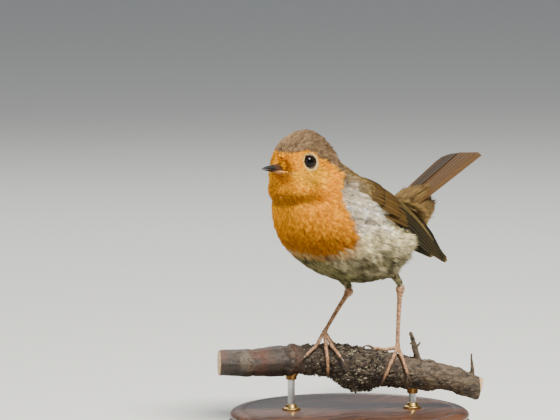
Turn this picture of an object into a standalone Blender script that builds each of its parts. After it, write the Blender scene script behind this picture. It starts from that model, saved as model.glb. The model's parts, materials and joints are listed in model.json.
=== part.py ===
"""A life-size European robin on a cut length of branch, held up by a plain display stand.

Frame: X runs from the bill towards the tail, the bird's left side faces -Y and Z is up. The origin is the
centre of the stand base's underside. Nothing moves: it is a still museum model of many fitted pieces.
Sizes of the bird are in millimetres from its own zero, a point level with the bark between the feet.
"""

import math

import bmesh
import bpy
import numpy as np
from mathutils import Matrix, Quaternion, Vector

MM = 0.001
UP = Vector((0, 0, 1))

# Stand: a round base and two rods, which end in sockets
BASE_RADIUS = 50 * MM
BASE_HEIGHT = 8 * MM
BASE_EDGE = 1.2 * MM
ROD_RADIUS = 1.5 * MM
ROD_PLACES = (-24 * MM, 26 * MM)  # along the perch
SOCKET_DEPTH = 4 * MM
GAP = 0.3 * MM

# Perch: along, height of the axis above the bird's zero, radius; its middle stands over the origin
PERCH_TURN = math.radians(-30)
PERCH_STATIONS = np.array([
    (-54, -5.1, 5.3),
    (-39, -5.3, 5.6),
    (-29, -4.7, 6.5),
    (-20.5, -4.3, 5.8),
    (-13, -4.4, 6.1),
    (-6, -4.9, 6.6),
    (-1, -6.9, 8.2),
    (4, -8.9, 9.1),
    (9, -8.4, 7.7),
    (14, -8.3, 6.8),
    (20, -9.4, 6.4),
    (29, -11.2, 6.2),
    (41, -12.7, 5.1),
    (54, -17.4, 4.7),
])
PERCH_STEPS = 31
# Thorns: place along the perch, turn from its top in degrees, lean along it, length, root radius
THORNS = ((29.2, 12, -0.3, 12.5, 1.5), (50.4, 4, 0.0, 9.0, 1.05))
THORN_ROOT = 4  # how deep a thorn starts inside the wood
THORN_TAPER = 0.8

# Bird
BIRD_ZERO = Vector((-5.9, -1.3, 33.0)) * MM
BODY_SIDES = 24
HEAD_TURN = math.radians(4)
HEAD_PIVOT_X = -9.0
EYE_CENTRE = (-23.4, -8.0, 79.0)
EYE_RADIUS = 3.3
BILL_ROOT = (-30.7, 75.0)
BILL_TIP = (-41.3, 77.1)
BILL_WIDTH = 4.6
BILL_DEPTHS = (3.2, 1.3)  # above and below the line where the two halves meet
BILL_TIP_SIZES = (0.25, 0.25)  # half width and depth of each half at its tip
BILL_DROOP = 0.5
BILL_SIDES = 14

# Body stations, from the bill's root to the tail's root:
# back X, back Z, belly X, belly Z, half width, share of the height below the widest level, squareness
BODY_STATIONS = np.array([
    (-30.4, 78.4, -30.2, 73.5, 2.6, 0.50, 2.0),
    (-30.8, 80.8, -31.0, 70.8, 5.0, 0.48, 2.0),
    (-30.0, 84.6, -31.3, 67.4, 7.9, 0.45, 2.1),
    (-26.6, 88.9, -31.2, 63.4, 10.0, 0.42, 2.2),
    (-20.4, 91.7, -30.9, 59.2, 11.3, 0.40, 2.2),
    (-13.6, 91.0, -30.2, 54.2, 12.8, 0.38, 2.1),
    (-8.4, 86.8, -28.6, 48.8, 15.4, 0.38, 2.1),
    (-4.4, 80.6, -26.0, 43.6, 18.4, 0.41, 2.1),
    (1.6, 75.8, -21.6, 38.8, 21.2, 0.45, 2.1),
    (8.4, 71.6, -15.8, 34.2, 22.8, 0.48, 2.1),
    (15.0, 68.0, -8.6, 30.0, 23.4, 0.51, 2.1),
    (21.0, 64.6, 0.0, 27.0, 23.0, 0.53, 2.1),
    (26.0, 62.2, 10.0, 25.6, 21.6, 0.55, 2.1),
    (30.4, 60.6, 19.4, 27.6, 18.2, 0.56, 2.0),
    (34.0, 60.0, 27.6, 33.2, 13.6, 0.55, 2.0),
    (38.4, 59.0, 36.6, 41.6, 9.4, 0.54, 2.0),
    (43.6, 57.8, 44.6, 48.2, 6.4, 0.52, 2.0),
])
HEAD_SPAN = (0.0, 5.2)
NECK_SPAN = (5.23, 6.9)
TRUNK_SPAN = (6.93, 16.0)

# Left wing, from shoulder to tip: lower edge X Y Z, upper edge X Y Z, thickness, outward bulge
WING_STATIONS = np.array([
    (-9.6, -18.2, 67.6, -9.0, -13.4, 73.6, 1.4, 0.9),
    (-1.9, -20.4, 63.2, 2.0, -11.6, 71.8, 2.6, 2.2),
    (4.6, -22.2, 58.0, 9.8, -11.2, 67.6, 3.0, 3.2),
    (12.0, -22.4, 52.8, 17.6, -10.6, 62.0, 3.0, 3.2),
    (21.4, -19.2, 47.6, 26.6, -9.4, 56.6, 2.6, 2.4),
    (31.4, -13.2, 41.6, 37.0, -8.8, 49.4, 2.0, 1.2),
    (40.2, -9.8, 36.9, 44.6, -7.6, 41.4, 1.4, 0.5),
    (48.6, -8.2, 33.4, 49.6, -7.6, 35.2, 0.8, 0.1),
])
WING_RINGS = 15
WING_SIDES = 14
COVERTS_END = 3.4  # station where the coverts give way to the long flight feathers
POCKET_LIFT = 4.0  # how far the pocket reaches out past the wing, so that it is open there

# Tail: a flat fan on a straight axis, tilted up, swung to the bird's right and rolled left side up
TAIL_ROOT = (26.2, 54.2)
TAIL_LENGTH = 48.6
TAIL_RISE = math.radians(26)
TAIL_SWING = math.radians(14)
TAIL_ROLL = math.radians(-10)
TAIL_WIDTHS = (13.0, 22.0)
TAIL_THICKNESS = (3.4, 1.1)
TAIL_TENT = 1.4
TAIL_NOTCH = 1.4
TAIL_RINGS = 10
TAIL_SIDES = 18
SWING_PIVOT_X = 25.0

# Legs: knee, ankle and foot joint of each, in the bird's millimetres
LEGS = {
    "left": {"knee": (13.0, -12.0, 38.0), "ankle": (24.2, -9.0, 26.2), "foot": (22.7, -9.0, -0.2)},
    "right": {"knee": (2.0, 12.0, 36.0), "ankle": (13.8, 11.0, 23.2), "foot": (-3.7, 6.0, 6.6)},
}
SHIN_RADII = (5.2, 1.75)
TARSUS_RADII = (1.15, 0.8)
FOOT_BALL = 1.15
TOE_RADII = (0.78, 0.55)
TOE_DROP = 6.0  # distance along a toe in which it comes down to the bark
CLAW_RADII = (0.5, 0.25)
CLAW_GAP = 0.75  # between a toe's end and its claw's root, over the toe's rounded cap
CLAW_ARCH = 0.9
CLAW_DROP = 0.25
# Toe name: length, claw length
TOES = {"inner": (10.5, 3.6), "middle": (15.5, 4.2), "outer": (11.5, 3.6), "hind": (8.0, 6.0)}
# Where each toe points round its foot: 0 back along the perch, 90 towards the bird's left
BEARINGS = {
    "left": {"inner": 4, "middle": 66, "outer": 106, "hind": 246},
    "right": {"inner": 126, "middle": 94, "outer": 46, "hind": 224},
}


def clear_scene():
    for old in list(bpy.data.objects):
        bpy.data.objects.remove(old, do_unlink=True)


def new_collection(name):
    group = bpy.data.collections.new(name)
    bpy.context.scene.collection.children.link(group)
    return group


def finish(name, colour, roughness, metallic=0.0):
    mat = bpy.data.materials.new(name)
    mat.use_nodes = True
    shader = mat.node_tree.nodes["Principled BSDF"]
    shader.inputs["Base Color"].default_value = (*colour, 1)
    shader.inputs["Roughness"].default_value = roughness
    shader.inputs["Metallic"].default_value = metallic
    mat.diffuse_color = (*colour, 1)
    return mat


def bird(x, y, z):
    """A point given in the bird's millimetres, in the part's frame."""
    return Vector((x, y, z)) * MM + BIRD_ZERO


def smooth_rows(rows, t):
    """The row of numbers at place t along rows, on a Catmull-Rom curve through them."""
    last = len(rows) - 1
    i = min(max(int(math.floor(t)), 0), last - 1)
    u = t - i
    before = rows[max(i - 1, 0)]
    start, end = rows[i], rows[i + 1]
    after = rows[min(i + 2, last)]
    return 0.5 * (
        2 * start
        + (end - before) * u
        + (2 * before - 5 * start + 4 * end - after) * u**2
        + (3 * start - before - 3 * end + after) * u**3
    )


def ease(x):
    x = min(max(x, 0.0), 1.0)
    return x * x * (3 - 2 * x)


def mesh_object(name, bm, mat, group):
    mesh = bpy.data.meshes.new(name)
    bm.to_mesh(mesh)
    bm.free()
    mesh.materials.append(mat)
    mesh.shade_smooth()
    mesh.set_sharp_from_angle(angle=math.radians(50))
    made = bpy.data.objects.new(name, mesh)
    group.objects.link(made)
    return made


def loft(name, rings, mat, group):
    """A closed skin over rings with the same number of points, each end closed by one flat face."""
    bm = bmesh.new()
    loops = [[bm.verts.new(point) for point in ring] for ring in rings]
    count = len(loops[0])
    for first, second in zip(loops, loops[1:]):
        for k in range(count):
            after = (k + 1) % count
            bm.faces.new((first[k], first[after], second[after], second[k]))
    bm.faces.new(loops[0][::-1])
    bm.faces.new(loops[-1])
    bmesh.ops.recalc_face_normals(bm, faces=bm.faces)
    return mesh_object(name, bm, mat, group)


def tube(name, points, radii, mat, group, resolution=2):
    """A round tube on a line of points, tapering through radii, made a mesh with its caps welded."""
    curve = bpy.data.curves.new(name, "CURVE")
    curve.dimensions = "3D"
    curve.bevel_depth = 1.0
    curve.bevel_resolution = resolution
    curve.use_fill_caps = True
    line = curve.splines.new("POLY")
    line.points.add(len(points) - 1)
    for spot, point, radius in zip(line.points, points, radii):
        spot.co = (*point, 1)
        spot.radius = radius
    guide = bpy.data.objects.new(name + "_line", curve)
    group.objects.link(guide)
    bpy.context.view_layer.update()
    evaluated = guide.evaluated_get(bpy.context.evaluated_depsgraph_get())
    mesh = bpy.data.meshes.new_from_object(evaluated)
    bm = bmesh.new()
    bm.from_mesh(mesh)
    bmesh.ops.remove_doubles(bm, verts=bm.verts, dist=0.00001)
    bmesh.ops.recalc_face_normals(bm, faces=bm.faces)
    bpy.data.objects.remove(guide, do_unlink=True)
    bpy.data.meshes.remove(mesh)
    return mesh_object(name, bm, mat, group)


def ball(name, centre, radius, mat, group, segments=16, rings=9):
    bm = bmesh.new()
    place = Matrix.Translation(centre)
    bmesh.ops.create_uvsphere(bm, u_segments=segments, v_segments=rings, radius=radius, matrix=place)
    return mesh_object(name, bm, mat, group)


def cylinder(name, foot, top, radius, mat, group, segments=24):
    bm = bmesh.new()
    axis = top - foot
    turn = UP.rotation_difference(axis).to_matrix().to_4x4()
    place = Matrix.Translation((foot + top) / 2) @ turn
    bmesh.ops.create_cone(
        bm, cap_ends=True, segments=segments, radius1=radius, radius2=radius, depth=axis.length, matrix=place
    )
    return mesh_object(name, bm, mat, group)


def combine(target, other, operation):
    """Joins or cuts target with other; a cutter stays in the file as a hidden helper."""
    modifier = target.modifiers.new(operation.lower() + "_" + other.name, "BOOLEAN")
    modifier.operation = operation
    modifier.solver = "EXACT"
    modifier.object = other
    other.hide_render = True
    other.display_type = "WIRE"


# ---------------------------------------------------------------- head, neck and trunk

def head_turned(point, share=1.0):
    """A point in the bird's millimetres after that share of the head's turn to the left."""
    pivot = Vector((HEAD_PIVOT_X, 0, 0))
    return Matrix.Rotation(HEAD_TURN * share, 3, "Z") @ (Vector(point) - pivot) + pivot


def tail_turned(point, share):
    """A point after that share of the rump's swing after the tail."""
    pivot = Vector((SWING_PIVOT_X, 0, 0))
    return Matrix.Rotation(TAIL_SWING * share, 3, "Z") @ (point - pivot) + pivot


def body_ring(t, grow=0.0):
    """The body's outline at station t: two half superellipses between the back and the belly."""
    back_x, back_z, belly_x, belly_z, half, below, power = smooth_rows(BODY_STATIONS, t)
    belly = Vector((belly_x, 0, belly_z))
    rise = Vector((back_x, 0, back_z)) - belly
    height = rise.length
    rise.normalize()
    middle = belly + rise * height * below
    turn_share = ease((NECK_SPAN[1] + 1.5 - t) / 4)
    ring = []
    for k in range(BODY_SIDES):
        angle = 2 * math.pi * k / BODY_SIDES
        c, s = math.cos(angle), math.sin(angle)
        across = math.copysign(abs(c) ** (2 / power), c) * (half + grow)
        reach = height * ((1 - below) if s > 0 else below) + grow
        along = math.copysign(abs(s) ** (2 / power), s) * reach
        point = middle + Vector((0, across, 0)) + rise * along
        ring.append(bird(*tail_turned(head_turned(point, turn_share), ease((t - 12.5) / 3))))
    return ring


def body_piece(name, span, rings, mat, group, grow=0.0):
    places = np.linspace(span[0], span[1], rings)
    return loft(name, [body_ring(t, grow) for t in places], mat, group)


def make_body(mats, group, cutters):
    """Head, neck and trunk, with the eyes in their sockets; returns the two that the wings lie against."""
    head = body_piece("head", HEAD_SPAN, 13, mats["orange"], group)
    neck = body_piece("neck", NECK_SPAN, 7, mats["orange"], group)
    trunk = body_piece("trunk", TRUNK_SPAN, 20, mats["pale"], group)
    for side, name in ((1, "left"), (-1, "right")):
        x, y, z = EYE_CENTRE
        centre = bird(*head_turned((x, y * side, z)))
        ball("eye_" + name, centre, EYE_RADIUS * MM, mats["eye"], group)
        socket = ball("socket_" + name, centre, EYE_RADIUS * MM + GAP, mats["eye"], cutters)
        combine(head, socket, "DIFFERENCE")
    return neck, trunk


def bill_half(name, upper, mat, group):
    """One half of the bill: half-oval sections along it, flat where the two meet."""
    root, tip = Vector((BILL_ROOT[0], 0, BILL_ROOT[1])), Vector((BILL_TIP[0], 0, BILL_TIP[1]))
    rings = []
    for step in range(9):
        u = step / 8
        taper = (1 - u) ** 0.75
        half = BILL_TIP_SIZES[0] + (BILL_WIDTH / 2 - BILL_TIP_SIZES[0]) * taper
        full = BILL_DEPTHS[0] if upper else BILL_DEPTHS[1]
        depth = BILL_TIP_SIZES[1] + (full - BILL_TIP_SIZES[1]) * taper
        middle = root.lerp(tip, u * (1 if upper else 0.95)) - UP * BILL_DROOP * u**3
        ring = []
        for k in range(BILL_SIDES):
            angle = math.pi * k / (BILL_SIDES - 1)
            rise = GAP / MM / 2 + depth * math.sin(angle)
            out = Vector((0, math.cos(angle) * half, rise if upper else -rise))
            ring.append(bird(*head_turned(middle + out)))
        rings.append(ring)
    return loft(name, rings, mat, group)


# ---------------------------------------------------------------- wings

def wing_ring(t, side, grow=0.0, lift=0.0):
    """A thin lens between the wing's lower and upper edges, bulged outwards; lift raises its outer face."""
    row = smooth_rows(WING_STATIONS, t)
    low, high = Vector(row[0:3]), Vector(row[3:6])
    thick, bulge = row[6], row[7]
    ahead = smooth_rows(WING_STATIONS, t + 0.05)
    behind = smooth_rows(WING_STATIONS, t - 0.05)
    axis = (Vector(ahead[0:3]) + Vector(ahead[3:6]) - Vector(behind[0:3]) - Vector(behind[3:6])).normalized()
    chord = high - low
    outward = chord.cross(axis).normalized()
    if outward.y > 0:
        outward.negate()
    middle = (low + high) / 2
    half = chord / 2 * (1 + 2 * grow / chord.length)
    ring = []
    for k in range(WING_SIDES):
        angle = 2 * math.pi * k / WING_SIDES
        c, s = math.cos(angle), math.sin(angle)
        face = s * (thick / 2 + grow + (lift if s > 0 else 0))
        point = middle + half * c + outward * (bulge * (1 - c * c) + face)
        ring.append(bird(point.x, point.y * side, point.z))
    return ring


def wing_piece(name, side, span, rings, mat, group, grow=0.0, lift=0.0):
    places = np.linspace(span[0], span[1], rings)
    return loft(name, [wing_ring(t, side, grow, lift) for t in places], mat, group)


def make_wings(mats, group, cutters, trunk, neck):
    """Both wings, and the pockets that they lie in on the trunk and neck."""
    last = len(WING_STATIONS) - 1
    grow = GAP / MM
    for side, name in ((1, "left"), (-1, "right")):
        wing_piece("wing_coverts_" + name, side, (0, COVERTS_END), 9, mats["olive"], group)
        wing_piece("wing_flight_" + name, side, (COVERTS_END + 0.03, last), 10, mats["dark"], group)
        span = (-0.05, last)
        pocket = wing_piece(
            "wing_pocket_" + name, side, span, WING_RINGS, mats["dark"], cutters, grow, POCKET_LIFT
        )
        combine(trunk, pocket, "DIFFERENCE")
        combine(neck, pocket, "DIFFERENCE")


# ---------------------------------------------------------------- tail

def tail_ring(u, grow=0.0):
    """The fan's section a share u along the tail: a thin tented lens, its end a little notched."""
    width = TAIL_WIDTHS[0] + (TAIL_WIDTHS[1] - TAIL_WIDTHS[0]) * max(u, 0) ** 0.8
    thick = TAIL_THICKNESS[0] + (TAIL_THICKNESS[1] - TAIL_THICKNESS[0]) * u
    swing = Quaternion(UP, TAIL_SWING)
    axis = swing @ Vector((math.cos(TAIL_RISE), 0, math.sin(TAIL_RISE)))
    roll = Quaternion(axis, TAIL_ROLL) @ swing
    across = roll @ Vector((0, 1, 0))
    upward = axis.cross(across)
    root = Vector((TAIL_ROOT[0], 0, TAIL_ROOT[1]))
    ring = []
    for k in range(TAIL_SIDES):
        angle = 2 * math.pi * k / TAIL_SIDES
        c, s = math.cos(angle), math.sin(angle)
        reach = TAIL_LENGTH * u + TAIL_NOTCH * (abs(c) - 0.5) * ease(u * 3 - 2)
        level = s * (thick / 2 + grow) - TAIL_TENT * c * c * u
        ring.append(bird(*(root + axis * reach + across * c * (width / 2 + grow) + upward * level)))
    return ring


def make_tail(mats, group, cutters, trunk):
    """The tail, and the slot in the trunk that its root sits in."""
    loft("tail", [tail_ring(u) for u in np.linspace(0, 1, TAIL_RINGS)], mats["rufous"], group)
    rings = [tail_ring(u, GAP / MM) for u in np.linspace(-0.02, 1, TAIL_RINGS)]
    slot = loft("tail_slot", rings, mats["rufous"], cutters)
    combine(trunk, slot, "DIFFERENCE")


# ---------------------------------------------------------------- perch

def perch_frame():
    """The perch's own directions: along it, and level towards the bird's left side."""
    along = Vector((math.cos(PERCH_TURN), math.sin(PERCH_TURN), 0))
    side = Vector((math.sin(PERCH_TURN), -math.cos(PERCH_TURN), 0))
    return along, side


def perch_row(along):
    """Height of the axis and radius at a place along the perch, in millimetres."""
    places = PERCH_STATIONS[:, 0]
    i = int(np.clip(np.searchsorted(places, along) - 1, 0, len(places) - 2))
    t = i + (along - places[i]) / (places[i + 1] - places[i])
    return smooth_rows(PERCH_STATIONS, t)[1:]


def perch_point(along, angle, height):
    """A point this far along and round the perch from its top, and above its bark, in millimetres."""
    axis_height, radius = perch_row(along)
    run, side = perch_frame()
    outward = UP * math.cos(angle) + side * math.sin(angle)
    axis = run * along * MM + UP * (axis_height * MM + BIRD_ZERO.z)
    return axis + outward * (radius + height) * MM


def perch_place(point):
    """Where a point of the bird lies on the perch: along it and the angle round it, from the top."""
    run, side = perch_frame()
    along = point.dot(run) / MM
    axis_height, _ = perch_row(along)
    rise = point.z - BIRD_ZERO.z - axis_height * MM
    return along, math.atan2(point.dot(side), rise)


def make_perch(mats, group, cutters):
    """The branch, thickest at its middle, with two thorns grown from it."""
    start, end = PERCH_STATIONS[0, 0], PERCH_STATIONS[-1, 0]
    places = np.linspace(start, end, PERCH_STEPS)
    run, side = perch_frame()
    points = [run * s * MM + UP * (perch_row(s)[0] * MM + BIRD_ZERO.z) for s in places]
    radii = [perch_row(s)[1] * MM for s in places]
    perch = tube("perch", points, radii, mats["bark"], group, resolution=4)
    for number, (along, turn, lean, length, radius) in enumerate(THORNS, start=1):
        foot = perch_point(along, math.radians(turn), -THORN_ROOT)
        axis = (UP + run * lean + side * 0.1).normalized()
        shares = np.linspace(0, 1, 6)
        line = [foot + axis * (length + THORN_ROOT) * MM * u for u in shares]
        widths = [radius * MM * (1 - THORN_TAPER * u) for u in shares]
        thorn = tube(f"thorn_{number}", line, widths, mats["bark"], cutters)
        combine(perch, thorn, "UNION")
    return perch


# ---------------------------------------------------------------- legs and feet

def leg_tube(name, start, end, radii, steps, mat, group):
    """A tapering limb between two points that thins quickly at first."""
    shares = np.linspace(0, 1, steps)
    points = [start.lerp(end, u) for u in shares]
    widths = [(radii[1] + (radii[0] - radii[1]) * (1 - u) ** 1.8) * MM for u in shares]
    return tube(name, points, widths, mat, group, resolution=3)


def toe_line(foot, bearing, start, end, steps):
    """Points along a toe, from one distance to another: it drops from the foot's joint and grips the bark."""
    along, angle = perch_place(foot)
    _, radius = perch_row(along)
    side_share, along_share = math.sin(math.radians(bearing)), math.cos(math.radians(bearing))
    joint_height = (foot - perch_point(along, angle, 0)).length / MM
    points = []
    for distance in np.linspace(start, end, steps):
        resting = TOE_RADII[0] + GAP / MM
        height = resting + (joint_height - resting) * (1 - ease(distance / TOE_DROP))
        place = along - along_share * distance
        turn = angle + side_share * distance / (radius + 1.0)
        points.append(perch_point(place, turn, height))
    return points


def make_claw(name, foot, bearing, reach, length, mat, group):
    """A claw that arcs off the toe's end and back down to the bark."""
    start = reach + CLAW_GAP
    points = toe_line(foot, bearing, start, start + length, 5)
    along, angle = perch_place(points[0])
    axis_height, _ = perch_row(along)
    run, _ = perch_frame()
    axis = run * along * MM + UP * (axis_height * MM + BIRD_ZERO.z)
    outward = (points[0] - axis).normalized()
    shares = np.linspace(0, 1, len(points))
    lifts = [CLAW_ARCH * math.sin(math.pi * u) - CLAW_DROP * u for u in shares]
    points = [p + outward * lift * MM for p, lift in zip(points, lifts)]
    widths = [(CLAW_RADII[0] + (CLAW_RADII[1] - CLAW_RADII[0]) * u) * MM for u in shares]
    return tube(name, points, widths, mat, group, resolution=1)


def make_leg(side, mats, group, cutters):
    """One leg: feathered shin fitted to the belly, bare tarsus, and a foot joined to its four toes."""
    joints = {name: bird(*place) for name, place in LEGS[side].items()}
    foot, ankle, knee = joints["foot"], joints["ankle"], joints["knee"]
    down = (foot - ankle).normalized()
    shin = leg_tube("shin_" + side, knee, ankle, SHIN_RADII, 8, mats["pale"], group)
    span = (TRUNK_SPAN[0] - 1, TRUNK_SPAN[1])
    hollow = body_piece("belly_cutter_" + side, span, 20, mats["pale"], cutters, GAP / MM)
    combine(shin, hollow, "DIFFERENCE")
    top = ankle + down * (SHIN_RADII[1] * MM + GAP)
    low = foot - down * (FOOT_BALL * MM + GAP)
    leg_tube("tarsus_" + side, top, low, TARSUS_RADII, 5, mats["horn"], group)
    sole = ball("foot_" + side, foot, FOOT_BALL * MM, mats["horn"], group, 12, 8)
    for toe, (length, claw) in TOES.items():
        bearing = BEARINGS[side][toe]
        line = toe_line(foot, bearing, 0, length, 8)
        shares = np.linspace(0, 1, len(line))
        widths = [(TOE_RADII[0] + (TOE_RADII[1] - TOE_RADII[0]) * u) * MM for u in shares]
        digit = tube(f"toe_{toe}_{side}", line, widths, mats["horn"], cutters, resolution=1)
        combine(sole, digit, "UNION")
        make_claw(f"claw_{toe}_{side}", foot, bearing, length, claw, mats["claw"], group)


# ---------------------------------------------------------------- stand

def make_stand(mats, group, cutters, perch):
    """The round base and the two rods, whose ends sit in sockets in the base and the perch."""
    top = UP * BASE_HEIGHT
    base = cylinder("stand_base", Vector(), top, BASE_RADIUS, mats["base"], group, 48)
    edge = base.modifiers.new("edge", "BEVEL")
    edge.width = BASE_EDGE
    run, _ = perch_frame()
    for place, name in zip(ROD_PLACES, ("left", "right")):
        spot = run * place
        axis_height, radius = perch_row(place / MM)
        underside = BIRD_ZERO.z + (axis_height - radius) * MM
        low = spot + UP * (BASE_HEIGHT - SOCKET_DEPTH)
        high = spot + UP * (underside + SOCKET_DEPTH)
        cylinder("stand_rod_" + name, low + UP * GAP, high - UP * GAP, ROD_RADIUS, mats["steel"], group, 16)
        hole = cylinder("rod_hole_" + name, low, high, ROD_RADIUS + GAP, mats["steel"], cutters, 16)
        combine(base, hole, "DIFFERENCE")
        combine(perch, hole, "DIFFERENCE")


def main():
    clear_scene()
    robin = new_collection("robin")
    cutters = new_collection("cutters")
    mats = {
        "olive": finish("olive_brown_plumage", (0.23, 0.16, 0.08), 0.8),
        "dark": finish("flight_feathers", (0.08, 0.055, 0.03), 0.6),
        "orange": finish("orange_plumage", (0.75, 0.28, 0.04), 0.8),
        "pale": finish("pale_plumage", (0.62, 0.56, 0.45), 0.8),
        "rufous": finish("tail_feathers", (0.25, 0.13, 0.06), 0.65),
        "eye": finish("eye", (0.01, 0.006, 0.004), 0.05),
        "bill": finish("bill_horn", (0.03, 0.022, 0.018), 0.35),
        "horn": finish("leg_scales", (0.42, 0.24, 0.16), 0.5),
        "claw": finish("claw_horn", (0.1, 0.06, 0.045), 0.4),
        "bark": finish("bark", (0.12, 0.09, 0.07), 0.9),
        "base": finish("stand_wood", (0.09, 0.05, 0.03), 0.4),
        "steel": finish("stand_steel", (0.55, 0.55, 0.55), 0.3, 1.0),
    }
    neck, trunk = make_body(mats, robin, cutters)
    bill_half("bill_upper", True, mats["bill"], robin)
    bill_half("bill_lower", False, mats["bill"], robin)
    make_wings(mats, robin, cutters, trunk, neck)
    make_tail(mats, robin, cutters, trunk)
    perch = make_perch(mats, robin, cutters)
    make_stand(mats, robin, cutters, perch)
    for side in LEGS:
        make_leg(side, mats, robin, cutters)


main()
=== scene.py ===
"""Looks of a life-size European robin on a cut branch: one skin under a coat of mesh feathers, quills on
the wings and tail, a horn bill and claws, scaly legs, bark, and a plain wooden display stand."""

import json
import math
import random

import bmesh
import bpy
import numpy as np
from mathutils import Matrix, Quaternion, Vector, noise

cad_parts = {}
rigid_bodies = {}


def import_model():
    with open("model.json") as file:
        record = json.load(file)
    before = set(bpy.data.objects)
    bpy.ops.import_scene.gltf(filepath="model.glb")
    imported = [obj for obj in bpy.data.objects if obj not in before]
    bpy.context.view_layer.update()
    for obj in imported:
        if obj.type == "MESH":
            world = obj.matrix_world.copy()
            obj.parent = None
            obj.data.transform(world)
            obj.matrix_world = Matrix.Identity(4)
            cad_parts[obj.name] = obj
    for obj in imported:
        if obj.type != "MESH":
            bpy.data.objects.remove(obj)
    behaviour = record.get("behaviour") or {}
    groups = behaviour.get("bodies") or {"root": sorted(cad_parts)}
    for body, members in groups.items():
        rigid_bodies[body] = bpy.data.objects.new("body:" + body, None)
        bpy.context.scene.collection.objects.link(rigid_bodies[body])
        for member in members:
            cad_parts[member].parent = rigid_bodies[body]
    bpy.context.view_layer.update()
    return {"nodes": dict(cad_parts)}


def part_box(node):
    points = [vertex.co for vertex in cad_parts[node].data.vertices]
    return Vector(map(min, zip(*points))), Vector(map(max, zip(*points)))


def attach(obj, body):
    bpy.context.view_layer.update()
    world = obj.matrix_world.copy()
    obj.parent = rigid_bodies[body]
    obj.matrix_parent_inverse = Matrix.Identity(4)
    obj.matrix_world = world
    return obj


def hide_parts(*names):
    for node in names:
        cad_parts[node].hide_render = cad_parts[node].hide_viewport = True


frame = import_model()

MM = 0.001
UP = Vector((0, 0, 1))
SIDES = (("left", -1), ("right", 1))

# The bird's own zero, a point level with the bark between its feet; sizes below are millimetres from it
BIRD_ZERO = Vector((-5.9, -1.3, 33.0)) * MM
HEAD_TURN = Matrix.Rotation(math.radians(4), 3, "Z")
HEAD_PIVOT = Vector((-9.0, 0, 0))

# Camera: its direction, the point it looks at, and the width of its view from far away
VIEW_AZIMUTH = math.radians(-36)
VIEW_ELEVATION = math.radians(6)
VIEW_AIM = Vector((-22.2, 17.9, 89.8)) * MM
VIEW_WIDTH = 228.6 * MM
LENS = 300
SENSOR = 36

# Skin
FLESH = ("head", "neck", "trunk", "shin_left", "shin_right", "wing_coverts_left", "wing_coverts_right")
CLOSING = 0.45 * MM
VOXEL = 0.62 * MM
SKIN_SMOOTHING = 14


def bird(x, y, z):
    """A point given in the bird's millimetres, in the frame."""
    return Vector((x, y, z)) * MM + BIRD_ZERO


def head_turned(point):
    """A point of the bird's own straight head after its small turn to the left, in the frame."""
    return bird(*(HEAD_TURN @ (Vector(point) - HEAD_PIVOT) + HEAD_PIVOT))


def ease(x):
    x = np.clip(x, 0.0, 1.0)
    return x * x * (3 - 2 * x)


def blend(first, second, share):
    return first + (second - first) * share


def hump(x, middle, width):
    """A smooth bump, 1 at its middle."""
    return math.exp(-(((x - middle) / width) ** 2))


def unit_rows(rows):
    return rows / (np.linalg.norm(rows, axis=1, keepdims=True) + 1e-9)


def smooth_rows(rows, t):
    """The row of numbers at place t along rows, on a Catmull-Rom curve through them."""
    last = len(rows) - 1
    i = min(max(int(math.floor(t)), 0), last - 1)
    u = t - i
    before, start, end, after = rows[max(i - 1, 0)], rows[i], rows[i + 1], rows[min(i + 2, last)]
    slope, bend = end - before, 2 * before - 5 * start + 4 * end - after
    return 0.5 * (2 * start + slope * u + bend * u**2 + (3 * start - before - 3 * end + after) * u**3)


def turns(count):
    """Angles evenly round a circle."""
    return [2 * math.pi * k / count for k in range(count)]


# ---------------------------------------------------------------- node trees

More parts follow.
